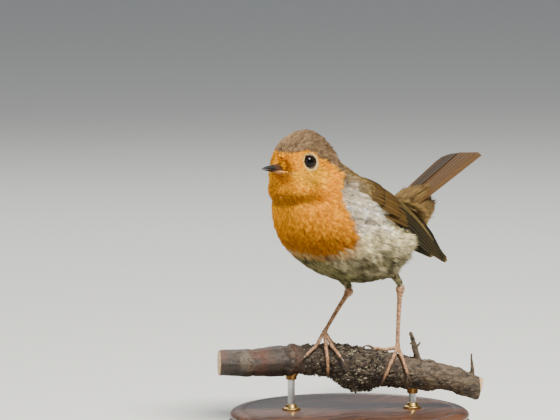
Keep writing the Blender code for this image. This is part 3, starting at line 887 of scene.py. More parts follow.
def rails(name, lines):
    """Chains of edges for shafts or bones, each point with its half width and facing."""
    places, edges, rows = [], [], []
    for number, (points, facings, widths, edge, hand) in enumerate(lines):
        run = 0.0
        for k, point in enumerate(points):
            if k:
                edges.append((len(places) - 1, len(places)))
                run += (point - points[k - 1]).length
            places.append(point)
            rows.append((*facings[k], widths[k], number, edge, hand, run))
    mesh = bpy.data.meshes.new(name)
    mesh.from_pydata(places, edges, [])
    rows = np.array(rows, float)
    keep(mesh, "facing", rows[:, :3], "FLOAT_VECTOR")
    for k, kept in enumerate(("half_width", "feather", "pale_edge", "hand", "reach")):
        keep(mesh, kept, rows[:, 3 + k])
    return piece(name, mesh)


def quill_tree():
    """Feather vanes swept along their shafts: a thin lens across, with a raised shaft."""
    tree, given, out = geometry_group("feather vanes", Sides=16, Thickness=0.05, Shaft=0.06, Cells=8)
    along = wired(tree, "GeometryNodeSplineParameter", output="Factor")
    shafts = facing_curves(tree, given).store("along", along)
    x, y, _ = position(tree).split()
    near_shaft = {"Value": abs(y), "From Min": 0.22, "From Max": 0.0, "To Min": 0.0, "To Max": 1.0}
    near_shaft = wired(tree, "ShaderNodeMapRange", near_shaft)
    raised = near_shaft * given["Shaft"] * x.maths("SIGN")
    lens = profile(tree, given).store("across", y).store("upper_face", x.maths("GREATER_THAN", 0.0))
    flat = combined(tree, x * given["Thickness"] + raised, y)
    lens = wired(tree, "GeometryNodeSetPosition", {"Geometry": lens, "Position": flat})
    made = swept_mesh(tree, shafts, lens)
    made = made.store("across", named(tree, "across") * named(tree, "hand"))

    feather = named(tree, "feather")
    column = feather.maths("MODULO", given["Cells"])
    row = (feather / given["Cells"]).maths("FLOOR")
    u = named(tree, "along") * 0.9 + 0.05 + column
    v = named(tree, "across") * 0.2 + (named(tree, "upper_face") * 0.5 + 0.22) + row
    unfolded = combined(tree, u / given["Cells"], v / given["Cells"])
    return closed_group(made.store("OFBake", unfolded, "FLOAT2", "CORNER"), given, out)


def wing_feathers(kinds, sign, rng):
    """The shafts of some kinds of feather on one wing, the innermost of each kind first."""
    feathers = []
    for kind in kinds:
        count, root_t, root_c, tip_t, tip_c, half_width, layers, edge = WING_FEATHERS[kind]
        short = "covert" in kind
        for k in range(count):
            ends = (root_t, root_c, tip_t, tip_c, layers)
            t0, c0, t1, c1, layer = (blend(first, last, k / (count - 1)) for first, last in ends)
            t1 += rng.uniform(-0.04, 0.04)
            c1 += rng.uniform(-0.03, 0.03)
            points, facings, widths = [], [], []
            for u in (s / 18 for s in range(19)):
                rise = layer - (2.1 if short else 0.6) * (1 - u) ** 2
                point, facing = wing_point(blend(t0, t1, u), blend(c0, c1, u**2.2), rise, sign)
                points.append(point)
                facings.append(facing)
                widths.append(vane_width(u, half_width, 0.72 if short else 0.86) * MM)
            feathers.append((points, facings, widths, edge, -sign))
    return feathers


def tail_axes():
    """The tail's own directions: along it, across it to the bird's right, and up from its face."""
    swing = Matrix.Rotation(TAIL_SWING, 3, "Z")
    along = swing @ Vector((math.cos(TAIL_RISE), 0, math.sin(TAIL_RISE)))
    across = Quaternion(along, TAIL_ROLL).to_matrix() @ swing @ Vector((0, 1, 0))
    return along, across, along.cross(across)


def tail_feathers(rng):
    """Twelve tail feathers, the middle pair on top and the others stepped down under it on both sides."""
    along, across, upward = tail_axes()
    feathers = []
    for k in range(12):
        side = -1 if k % 2 else 1
        share = (k // 2 + 0.5) / 5.5
        length = TAIL_LENGTH + 0.6 + 1.5 * share + 1.3 * share**4 + rng.uniform(-0.3, 0.3)
        facing = (upward + across * side * (0.10 + 0.16 * share)).normalized()
        points, widths = [], []
        for s in range(29):
            u = 0.12 + 0.88 * s / 28
            out = side * share * (blend(*TAIL_WIDTHS, u**0.8) / 2 - 1.1) + 1.1
            high = (1 - share) * (1.4 - 0.9 * u) - 0.3 * share - 1.3 * u * share**2 + 0.1
            points.append(TAIL_ROOT + (along * (length * u) + across * out + upward * high) * MM)
            widths.append(max(vane_width(s / 28, 3.4, 0.95), 3.0 * (s < 14)) * MM)
        feathers.append((points, [facing] * 29, widths, 0.35, side))
    return feathers


def make_quills(flight, covert, tail):
    tree = quill_tree()
    rng = random.Random(7)

    def vanes(name, feathers, finish, thickness, slot, *nodes):
        made = grown(
            name, rails(name, feathers), tree, Sides=16, Thickness=thickness, Shaft=thickness * 0.9, Cells=7,
            Finish=finish,
        )
        settle(made, slot, *nodes)

    for side, sign in (("left", 1), ("right", -1)):
        long = wing_feathers(("primary", "secondary"), sign, rng)
        vanes("flight_quills_" + side, long, flight, 0.06, "flight_feathers", "wing_flight_" + side)
        vanes("tertials_" + side, wing_feathers(("tertial",), sign, rng), flight, 0.06, "flight_feathers")
        short = wing_feathers(("primary_covert", "greater_covert", "median_covert"), sign, rng)
        vanes("wing_coverts_vanes_" + side, short, covert, 0.07, "plumage_olive")
    vanes("tail_quills", tail_feathers(rng), tail, 0.06, "tail_feathers", "tail")


# ---------------------------------------------------------------- bill and eyes

BILL_TIP = Vector((-41.3, 0, 77.1))
BILL_BASE = Vector((-30.0, 0, 75.0))
BILL_HALF_WIDTH = 2.3
BILL_DEPTHS = (3.2, 1.43)
BILL_EDGE = 0.10
EYE_OPENING = 2.8 * MM


def bill_half(upper):
    """Upper or lower half of the bill: a ridge or keel along it, sharp edges, and a groove above."""
    rings = []
    for u in (step / 33 for step in range(34)):
        taper = (1 - u) ** 0.75
        half = blend(BILL_EDGE, BILL_HALF_WIDTH, taper)
        depth = blend(BILL_EDGE, BILL_DEPTHS[0 if upper else 1], taper)
        middle = BILL_BASE.lerp(BILL_TIP, u * (1.0 if upper else 0.95))
        droop = 0.5 * u**3 + (0.18 * float(ease((u - 0.86) / 0.14)) if upper else 0)
        ring = []
        for c, sn in ((math.cos(turn), math.sin(turn)) for turn in turns(32)):
            y = half * math.copysign(abs(c) ** 0.85, c)
            if sn >= 0:
                z = depth * (0.62 * sn**1.1 + 0.38 * sn**4)
                if upper:
                    groove = hump(abs(c), 0.72, 0.13) * hump(u, 0.18, 0.16)
                    z -= 0.28 * groove
                    y *= 1 - 0.10 * groove
            else:
                z = 0.10 * half * sn * (1 - 0.6 * u)
            z += BILL_EDGE
            ring.append(head_turned(middle + Vector((0, y, (z if upper else -z) - droop))))
        rings.append(ring)
    made = lofted_piece("upper_mandible" if upper else "lower_mandible", rings, 1)
    return settle(made, "bill_horn", "bill_upper" if upper else "bill_lower")


def nostrils():
    """The rims of the two slit nostrils in their grooves."""
    bm = bmesh.new()
    for _, sign in SIDES:
        for c, sn in ((math.cos(turn), math.sin(turn)) for turn in turns(10)):
            bead = head_turned((-31.9 + 0.55 * c, sign * (1.62 - 0.12 * sn), 76.55 + 0.2 * sn - 0.1 * c))
            bmesh.ops.create_icosphere(bm, subdivisions=1, radius=0.1 * MM, matrix=Matrix.Translation(bead))
    return settle(closed_piece("nostrils", bm), "bill_horn")


def gape(side, sign):
    """The soft pale flange at the corner of the mouth, running back into the cheek."""
    rings = []
    for u in (step / 14 for step in range(15)):
        x, y, z = -34.2 + 6.6 * u, 1.25 + 4.3 * u**0.9, 75.35 - 0.2 * u - 0.45 * u * u
        size = 0.15 * math.sin(math.pi * (0.02 + 0.96 * u)) ** 0.7 + 0.02
        rings.append([
            head_turned((x, sign * (y + 0.62 * size * math.cos(turn)), z + size * math.sin(turn)))
            for turn in turns(12)
        ])
    return settle(lofted_piece("gape_" + side, rings, 1), "bill_horn")


def gaze(sign):
    """A turn whose Z is the way an eye looks: out sideways, a little ahead and up."""
    straight = Vector((-0.50, sign * 0.85, 0.13)).normalized()
    return (HEAD_TURN @ straight).to_track_quat("Z", "Y").to_matrix()


def eye_mesh(side, sign):
    """An eyeball with a bulging cornea; from_axis keeps each point's angle from the gaze."""
    centre, radius = EYES[side]
    rings, angles = [], []
    for angle in (math.pi * step / 30 for step in range(1, 30)):
        bulge = 1 + 0.05 * max(0.0, 1 - (angle / math.radians(56)) ** 2) ** 2
        across, ahead = math.sin(angle), math.cos(angle)
        flats = [Vector((across * math.cos(turn), across * math.sin(turn), ahead)) for turn in turns(48)]
        rings.append([centre + gaze(sign) @ (flat * radius * bulge * 0.985) for flat in flats])
        angles += [angle] * 48
    made = lofted_piece("eyeball_" + side, rings)
    keep(made.data, "from_axis", angles + [0.0, math.pi])
    return settle(made, "eye", "eye_" + side)


def eyelid(side, sign):
    """The beaded bare rim round the eye, a little longer than high."""
    centre, radius = EYES[side]
    turned = gaze(sign)
    ahead = turned @ Vector((0, 0, 1))
    rings = []
    for around in turns(96):
        opening = EYE_OPENING * (1 + 0.08 * math.cos(2 * around))
        bead = 1 + 0.16 * math.sin(around * 34)
        depth = math.sqrt(max(radius**2 - opening**2, 0))
        out = turned @ Vector((math.cos(around), math.sin(around), 0))
        spot = centre + out * opening + ahead * (depth + 0.02 * MM)
        rings.append([
            spot + (out * math.cos(turn) * 0.26 + ahead * math.sin(turn) * 0.24) * MM * bead
            for turn in turns(10)
        ])
    return settle(lofted_piece("eyelid_" + side, rings, looped=True), "eye")


# ---------------------------------------------------------------- perch

PERCH_TURN = math.radians(-30)
PERCH_RUN = Vector((math.cos(PERCH_TURN), math.sin(PERCH_TURN), 0))
PERCH_SIDE = Vector((math.sin(PERCH_TURN), -math.cos(PERCH_TURN), 0))

# Place along the perch, height of its axis over the bird's zero, radius
PERCH_ROWS = np.array([
    (-54, -5.1, 5.3), (-39, -5.3, 5.6), (-29, -4.7, 6.5), (-20.5, -4.3, 5.8), (-13, -4.4, 6.1),
    (-6, -4.9, 6.6), (-1, -6.9, 8.2), (4, -8.9, 9.1), (9, -8.4, 7.7), (14, -8.3, 6.8), (20, -9.4, 6.4),
    (29, -11.2, 6.2), (41, -12.7, 5.1), (54, -17.4, 4.7),
])

# Knots round the perch: place along it, half width and swelling; a negative one is a crevice
KNOTS = (
    (-43.5, 4.0, 0.35), (-40.4, 1.4, -0.3), (-26.8, 1.6, -0.3), (-24.0, 2.4, 0.8), (33.0, 3.5, 0.8),
    (46.0, 2.5, 0.4),
)

# Thorns on the perch: along it, turn from its top, lean along it, length, radius, side prong or not
THORNS = ((29.2, 12, -0.30, 12.5, 1.5, True), (50.4, 4, 0.02, 9.0, 1.05, False))
FLAKE_KINDS = 4
FLAKE_DENSITY = 4e6  # scraps tried for each square metre, before the spacing thins them
PERCH_VOXEL = 0.40 * MM
PERCH_SMOOTHING = 6


def perch_row(along):
    """Height of the perch's axis and its radius at a place along it, in millimetres."""
    places = PERCH_ROWS[:, 0]
    i = int(np.clip(np.searchsorted(places, along) - 1, 0, len(places) - 2))
    return smooth_rows(PERCH_ROWS, i + (along - places[i]) / (places[i + 1] - places[i]))[1:]


def perch_axis(along):
    return PERCH_RUN * along * MM + UP * (perch_row(along)[0] * MM + BIRD_ZERO.z)


def perch_outward(angle):
    return UP * math.cos(angle) + PERCH_SIDE * math.sin(angle)


def perch_point(along, angle, height):
    """A point this far along and round the perch from its top, and above its bark, in millimetres."""
    return perch_axis(along) + perch_outward(angle) * (perch_row(along)[1] + height) * MM


# ---------------------------------------------------------------- legs and feet

TOE_RADII = (0.78, 0.55)
TARSUS_RADII = (0.8, 1.15)
# Each toe: its length and its claw's, and where its joints are along it
TOES = {
    "inner": (10.5, 3.6, (0.4, 0.78)),
    "middle": (15.5, 4.2, (0.3, 0.58, 0.84)),
    "outer": (11.5, 3.6, (0.28, 0.5, 0.7, 0.88)),
    "hind": (8.0, 6.0, (0.55,)),
}
# Bearings of the toes round each foot, 0 pointing back along the perch, 90 at the left side
BEARINGS = {
    "left": {"inner": 4, "middle": 66, "outer": 106, "hind": 246},
    "right": {"inner": 126, "middle": 94, "outer": 46, "hind": 224},
}
FEET = {"left": bird(22.7, -9, -0.2), "right": bird(-3.7, 6, 6.6)}


def toe_line(side, toe, start, end, steps):
    """Points along a toe, which drops from the foot's joint and then grips the bark."""
    foot, bearing = FEET[side], math.radians(BEARINGS[side][toe])
    along = foot.dot(PERCH_RUN) / MM
    angle = math.atan2(foot.dot(PERCH_SIDE), foot.z - perch_axis(along).z)
    radius = perch_row(along)[1]
    joint_height = (foot - perch_point(along, angle, 0)).length / MM
    points, facings = [], []
    for distance in np.linspace(start, end, steps):
        height = blend(joint_height, TOE_RADII[0] + 0.3, float(ease(distance / 6.0)))
        turn = angle + math.sin(bearing) * distance / (radius + 1.0)
        points.append(perch_point(along - math.cos(bearing) * distance, turn, height))
        facings.append(perch_outward(turn))
    return points, facings


def limb_tree():
    """Scaly tubes swept along their bones: overlapping plates above, soft pads below."""
    sizes = {"Sides": 18, "Step": 0.14 * MM, "Plate": 1.25 * MM, "Plate Depth": 0.09, "Pad Depth": 0.12}
    tree, given, out = geometry_group("scaly limbs", **sizes, Seed=3)
    run = wired(tree, "GeometryNodeSplineParameter", output="Length")
    run = combined(tree, run, given["Seed"]).noise(600.0, 1) * (given["Plate"] * 0.55) + run
    bones = facing_curves(tree, given, given["Step"]).store("plate", run / given["Plate"])
    above, _, _ = position(tree).split()
    limbs = swept_mesh(tree, bones, profile(tree, given).store("above", above))
    plate, above = named(tree, "plate"), named(tree, "above")
    ramp = plate.maths("FRACT")
    lift = (ramp * 0.8 - 0.4) * (1.0 - ramp**7.0) * above.band(-0.35, 0.1) * given["Plate Depth"]
    wave = abs((plate * (math.pi / 2)).maths("SINE"))
    pads = (wave - 0.5) * above.band(-0.2, -0.8) * given["Pad Depth"]
    return closed_group(pushed_out(limbs, (lift + pads) * named(tree, "half_width")), given, out)


def tarsus_bone(side):
    """The scaly lower leg below the feathers: a line of points, facings and half widths."""
    ankle, foot = ANKLES[side], FEET[side]
    down = (foot - ankle).normalized()
    top = ankle - down * 1.6 * MM
    front = (Vector((-1, 0, 0)) - down * (-down.x)).normalized()
    points, widths = [], []
    for u in (k / 30 for k in range(31)):
        points.append(top.lerp(foot, u) + front * (0.25 * math.sin(math.pi * u)) * MM)
        knobs = 0.75 * hump(u, 0.06, 0.08) + 0.30 * hump(u, 0.98, 0.05)
        widths.append((blend(*TARSUS_RADII, (1 - u) ** 1.8) + knobs) * MM * (1 if u else 0.8))
    return [(points, [front] * 31, widths, 0, 1)]


def toe_bones(side):
    bones = []
    for toe, (length, _, joints) in TOES.items():
        widths = []
        for u in (k / 23 for k in range(24)):
            thick = blend(*TOE_RADII, u) + sum(0.13 * hump(u, joint, 0.05) for joint in joints)
            widths.append(thick * MM * (1 - 0.35 * float(ease((u - 0.93) / 0.07))))
        bones.append((*toe_line(side, toe, 0, length + 0.5, 24), widths, 0, 1))
    return bones


def claw_bones(side):
    """The claws: arcs off the toes' ends and down to the bark."""
    bones = []
    for toe, (length, claw, _) in TOES.items():
        line, facings = toe_line(side, toe, length - 0.2, length + 0.75 + claw, 20)
        rises = [0.9 * math.sin(math.pi * k / 19) - 0.30 * k / 19 for k in range(20)]
        points = [point + facings[0] * rise * MM for point, rise in zip(line, rises)]
        widths = [(0.56 * (1 - k / 19) ** 0.7 + 0.07) * MM for k in range(20)]
        bones.append((points, facings, widths, 0, 1))
    return bones


def make_legs(scales, horn):
    tree = limb_tree()
    for side, _ in SIDES:
        claws = [f"claw_{toe}_{side}" for toe in TOES]
        for name, bones, sides, step, plate, plate_depth, pad_depth, seed, slot, *nodes in (
            ("tarsus_plates_", tarsus_bone, 24, 0.16, 3.4, 0.12, 0.02, 2, "leg_scales", "tarsus_" + side),
            ("toes_", toe_bones, 18, 0.12, 0.95, 0.22, 0.22, 5, "leg_scales", "foot_" + side),
            ("claws_", claw_bones, 14, 0.12, 50.0, 0.0, 0.0, 1, "claw_horn", *claws),
        ):
            sizes = {"Sides": sides, "Step": step * MM, "Plate": plate * MM}
            sizes |= {"Plate Depth": plate_depth, "Pad Depth": pad_depth, "Seed": seed}
            finish = horn if slot == "claw_horn" else scales
            limb = grown(name + side, rails(name + side, bones(side)), tree, **sizes, Finish=finish)
            settle(limb, slot, *nodes)


# ---------------------------------------------------------------- bark

def bark_fields(mesh):
    """Keeps on the perch's mesh how rough it is, where it was sawn, and where the toes need it smooth."""
    places = vert_array(mesh)
    run = places @ np.array(PERCH_RUN) / MM
    clear = np.ones(len(places))
    for side, _ in SIDES:
        for toe, (length, claw, _) in TOES.items():
            for point in toe_line(side, toe, 0, length + claw, 14)[0]:
                away = np.linalg.norm(places - np.array(point), axis=1) / MM
                clear = np.minimum(clear, ease((away - 1.2) / 2.2))
    keep(mesh, "rough", ease((run + 24) / 8) * (1 - 0.55 * ease((run - 16) / 14)))
    keep(mesh, "sawn", ease((np.abs(run) - 53.3) / 0.4))
    keep(mesh, "clear", clear)


def perch_place(place):
    """A place as millimetres along, beside and above the perch's middle."""
    axes = (PERCH_RUN, PERCH_SIDE, UP)
    return combined(place.tree, *(place.maths("DOT_PRODUCT", axis / MM) for axis in axes))


def pores_in(place):
    """How far the nearest pore is; pores run round the perch."""
    return (place * (1.0, 0.35, 0.35)).cells(0.8)


def bark_tree():
    """Lumps, lengthwise ridges, cracked plates and pores pushed out of the perch's smooth wood."""
    heights = {"Lumps": 0.9 * MM, "Ridges": 0.55 * MM, "Plates": 0.5 * MM, "Pores": 0.14 * MM}
    tree, given, out = geometry_group("bark", **heights)
    place = perch_place(position(tree))
    along, _, _ = place.split()
    wavering = along + (place.noise(0.2, 3, 0.6) * 9.0 - 4.5)
    rough = named(tree, "rough")
    ridges = (place * (0.22, 1.0, 1.0)).noise(0.75, 4, 0.62, distortion=0.6)
    ridges = 0.75 - abs(ridges * 4.0 - 2.0)
    wavy = place * (0.55, 1.0, 1.0) + place.noise(0.5, 2, 0.5, "Color")
    plates = wavy.cells(0.5, feature="DISTANCE_TO_EDGE").band(0.0, 0.22, -1.0, 0.35)
    height = (place.noise(0.16, 2, 0.5) - 0.5) * given["Lumps"]
    for spot, half, swell in KNOTS:
        height = height + abs(wavering - spot).band(half, 0.0, 0.0, swell * MM)
    height = height + ridges * given["Ridges"] * (rough * 0.8 + 0.2) + plates * given["Plates"] * rough
    height = height + pores_in(place).band(0.28, 0.05) * given["Pores"]
    shift = height.maths("MINIMUM", named(tree, "clear") * (1.2 * MM) + 0.05 * MM)
    shift = shift * (1.0 - named(tree, "sawn"))
    return closed_group(pushed_out(given["Geometry"].store("bark_height", height), shift), given, out)


def flake(name, seed):
    """A curled scrap of bark one unit across."""
    rng = random.Random(seed)
    bm = bmesh.new()
    rings = []
    for share, rise in ((0.45, 0.16), (1.0, 0.34)):
        ring = []
        for turn in turns(9):
            reach = 0.5 * share * rng.uniform(0.7, 1.15)
            x, y = reach * math.cos(turn) * 1.5, reach * math.sin(turn)
            ring.append((x, y, rise * rng.uniform(0.6, 1.4) * share + 0.5 * y * y))
        rings.append(ring)
    rings.append([(x * 0.8, y * 0.8, z - 0.22) for x, y, z in rings[1]])
    rows = [[bm.verts.new(p) for p in ring] for ring in rings]
    for first, second in zip(rows, rows[1:]):
        for k in range(9):
            after = (k + 1) % 9
            bm.faces.new((first[k], first[after], second[after], second[k]))
    bm.faces.new(rows[0][::-1])
    bm.faces.new(rows[2])
    bmesh.ops.recalc_face_normals(bm, faces=bm.faces)
    return mesh_of(bm, name, smooth=False)


def flake_tree():
    """Bark scraps and lichen crusts scattered where the perch is rough."""
    sizes = {"Spacing": 1.1 * MM, "Size": 1.0 * MM}
    tree, given, out = geometry_group("bark flakes", Flakes="Collection", **sizes, Seed=4)
    seed = {"Seed": given["Seed"]}
    wanted = named(tree, "rough") * named(tree, "clear") * perch_place(position(tree)).noise(0.2, 2)
    roots, kinds = scattered(tree, given, wanted.maths("GREATER_THAN", 0.33), "Flakes", FLAKE_DENSITY)
    stray = {"Min": (-0.35, -0.35, -0.6), "Max": (0.35, 0.35, 0.6)} | seed
    stray = wired(tree, "FunctionNodeRandomValue", stray, data_type="FLOAT_VECTOR")
    turn = turned_to(tree, roots["Normal"], tuple(PERCH_RUN), stray)
    size = wired(tree, "FunctionNodeRandomValue", {2: 0.45, 3: 1.3} | seed, 1, data_type="FLOAT")
    pick = wired(tree, "FunctionNodeRandomValue", {4: 0, 5: FLAKE_KINDS - 1} | seed, 2, data_type="INT")
    made = planted(tree, roots["Points"], kinds, pick, turn, size * given["Size"])
    return closed_group(made, given, out, smooth=False)


def thorn(bm, along, angle, lean, length, radius, pronged):
    """A woody thorn with swollen rings, a blunt worn tip and perhaps two side prongs."""
    foot = perch_point(along, math.radians(angle), -3)
    way = (UP + PERCH_RUN * lean + PERCH_SIDE * 0.1).normalized()
    shoots = [(foot, way, length + 3.0, radius)]
    if pronged:
        shoots.append((foot + way * 8.2 * MM, (way + PERCH_RUN * 0.9).normalized(), 3.4, radius * 0.55))
        shoots.append((foot + way * 5.4 * MM, (way - PERCH_RUN * 0.8).normalized(), 2.2, radius * 0.5))
    for number, (start, direction, size, thick) in enumerate(shoots):
        level = direction.orthogonal().normalized()
        cross = direction.cross(level)
        rings = []
        for u in (k / 25 for k in range(26)):
            ridge = math.exp(-((u * size) % 2.3 - 1.1) ** 2 / 0.08)
            ridge = 1 + 0.16 * ridge + 0.12 * noise.noise((u * 9, number, along))
            spread = thick * (1 - 0.72 * u) * ridge + 0.9 * thick * math.exp(-u * size / 1.4) * (number == 0)
            bend = PERCH_RUN * 0.5 * math.sin(u * 5 + along) * u
            ring = []
            for c, sn in ((math.cos(turn), math.sin(turn)) for turn in turns(14)):
                wobble = 1 + 0.14 * noise.noise((c * 1.3, sn * 1.3, u * 6 + along))
                out = (level * c + cross * sn) * spread * wobble
                ring.append(start + (direction * size * u + out + bend) * MM)
            rings.append(ring)
        loft(bm, rings)


def make_perch(bark, lichen):
    bm = bmesh.new()
    cad_copy(bm, "perch")
    rough = remeshed("perch_wood", bm, PERCH_VOXEL, PERCH_SMOOTHING)
    bark_fields(rough.data)
    perch = settle(grown("perch_bark", rough, bark_tree(), Finish=bark), "bark", "perch")
    group = kinds_of("flake", FLAKE_KINDS, lambda name, k: flake(name, 60 + k))
    holder = piece("flakes", perch.data.copy())
    scraps = grown("bark_flakes", holder, flake_tree(), Flakes=group, Finish=lichen)
    settle(scraps, "bark")
    remove_kinds(group)
    bm = bmesh.new()
    for row in THORNS:
        thorn(bm, *row)
    thorns = settle(closed_piece("thorns", bm), "bark", finish=bark)
    keep(thorns.data, "rough", np.full(len(thorns.data.vertices), 0.6))


# ---------------------------------------------------------------- stand

# Turned outlines: radius and height of each point, in millimetres; a collar's cap is measured from the perch
BASE_OUTLINE = (
    (44.0, 0.5), (47.4, 0.0), (48.8, 0.15), (49.7, 0.8), (50.0, 1.7), (49.8, 2.7), (49.1, 3.5), (48.2, 3.95),
    (47.9, 4.2), (47.9, 4.6), (48.3, 4.75), (48.9, 5.2), (49.1, 5.8), (48.9, 6.5), (48.2, 7.2), (47.2, 7.7),
    (45.6, 8.0), (43.4, 8.0), (43.0, 7.8), (42.6, 7.8), (42.2, 8.0), (20.0, 8.0), (4.0, 8.0),
)
FELT_OUTLINE = ((20.0, 0.05), (43.4, 0.05), (43.9, 0.2), (43.9, 0.55), (20.0, 0.55))
COLLAR_OUTLINE = (
    (1.5, 7.9), (3.6, 7.9), (3.75, 8.1), (3.75, 8.7), (3.5, 8.95), (2.7, 9.1), (2.4, 9.4), (2.3, 10.2),
    (2.1, 10.4), (1.5, 10.4),
)
CAP_OUTLINE = (
    (1.5, -1.9), (2.0, -1.9), (2.2, -1.7), (2.3, -0.6), (2.9, 0.1), (3.0, 0.7), (2.0, 1.3), (1.5, 1.3),
)


def turned(bm, outline, sides, centre=Vector((0, 0, 0))):
    """A lathe-turned solid from its outline, bottom first."""
    loft(bm, [
        [centre + Vector((r * math.cos(turn), r * math.sin(turn), h)) * MM for turn in turns(sides)]
        for r, h in outline
    ])


def make_stand(wood, felt, steel, brass):
    for name, outline, sides, finish, *nodes in (
        ("turned_base", BASE_OUTLINE, 160, wood, "stand_base"),
        ("base_felt", FELT_OUTLINE, 96, felt),
    ):
        bm = bmesh.new()
        turned(bm, outline, sides)
        settle(closed_piece(name, bm), "stand_wood", *nodes, finish=finish)
    bm = bmesh.new()
    for name in ("stand_rod_left", "stand_rod_right"):
        low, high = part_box(name)
        centre = Vector(((low.x + high.x) / 2, (low.y + high.y) / 2, 0))
        run = centre.dot(PERCH_RUN) / MM
        under = perch_axis(run).z - perch_row(run)[1] * MM
        turned(bm, COLLAR_OUTLINE, 40, centre)
        turned(bm, CAP_OUTLINE, 40, centre + UP * under)
        frame["nodes"][name].material_slots[0].material = steel
    settle(closed_piece("rod_collars", bm), "stand_steel", finish=brass)


# ---------------------------------------------------------------- finishes

def tint(red, green, blue):
    """A colour as the eye sees it, 0 to 255, as the linear values that a shader takes."""
    def linear(v):
        v /= 255
        return v / 12.92 if v <= 0.04045 else ((v + 0.055) / 1.055) ** 2.4

    return (linear(red), linear(green), linear(blue), 1.0)


ORANGE = tint(252, 166, 4)
# The cheeks' orange, partly their own yellower colour and partly painted light
ORANGE_GOLD = tint(255, 184, 20)
# Deep orange: the orange's own darker patches, and painted shade low on the breast and under the cheeks
ORANGE_DEEP = tint(160, 98, 18)
BACK_OLIVE = tint(132, 108, 60)
CROWN_BROWN = tint(154, 126, 94)
CROWN_DARK = tint(130, 104, 74)
NECK_GREY = tint(204, 188, 162)
NAPE_GREY = tint(170, 154, 130)
BAND_GREY = tint(216, 200, 170)
BAND_WHITE = tint(255, 252, 244)
FLANK_BUFF = tint(238, 222, 176)
# The belly's pale colour, darkened by painted shade and tinted olive by a painted greenish reflection;
# BELLY_SHADE is deeper painted shade low on the belly
BELLY_SHADED_OLIVE = tint(134, 126, 84)
BELLY_SHADE = tint(74, 67, 40)
RUMP_OLIVE = tint(122, 97, 58)
VENT_BUFF = tint(178, 148, 92)
RING_CREAM = tint(255, 226, 150)
GAPE_GOLD = tint(255, 206, 96)
BARK_DARK = tint(36, 28, 21)
BARK_GREY = tint(78, 63, 48)
BARK_RUST = tint(92, 48, 24)
BARK_PALE = tint(88, 71, 50)
BARK_LICHEN = tint(138, 130, 104)
BARK_PORE = tint(128, 98, 70)

# Colours of each kind of quill: web, inner web, edge and shaft
QUILL_COLOURS = {
    "flight_vanes": (tint(27, 23, 11), tint(16, 14, 8), tint(200, 168, 104), tint(20, 15, 8)),
    "covert_vanes": (tint(74, 54, 22), tint(27, 23, 11), tint(112, 84, 38), tint(20, 15, 8)),
    "tail_vanes": (tint(82, 58, 30), tint(52, 39, 22), tint(126, 90, 50), tint(60, 40, 26)),
}


def curve_of(value, rows):
    """The height, at a value, of a smooth curve through rows of value and height."""
    low, high = rows[0][0], rows[-1][0]
    bottom, top = min(r[1] for r in rows), max(r[1] for r in rows)
    share = wired(value.tree, "ShaderNodeMapRange", {"Value": value, "From Min": low, "From Max": high})
    made = node(value.tree, "ShaderNodeFloatCurve", {"Value": share})
    line = made.mapping.curves[0]
    spots = [((r[0] - low) / (high - low), (r[1] - bottom) / (top - bottom)) for r in rows]
    line.points[0].location, line.points[1].location = spots[0], spots[-1]
    for spot in spots[1:-1]:
        line.points.new(*spot)
    made.mapping.update()
    return Wire(value.tree, made.outputs[0]) * (top - bottom) + bottom


def painted(colour, *zones):
    """A colour with zones painted over it one after another, each given by its share and its colour."""
    for share, over in zones:
        colour = share.mix(colour, over)
    return colour


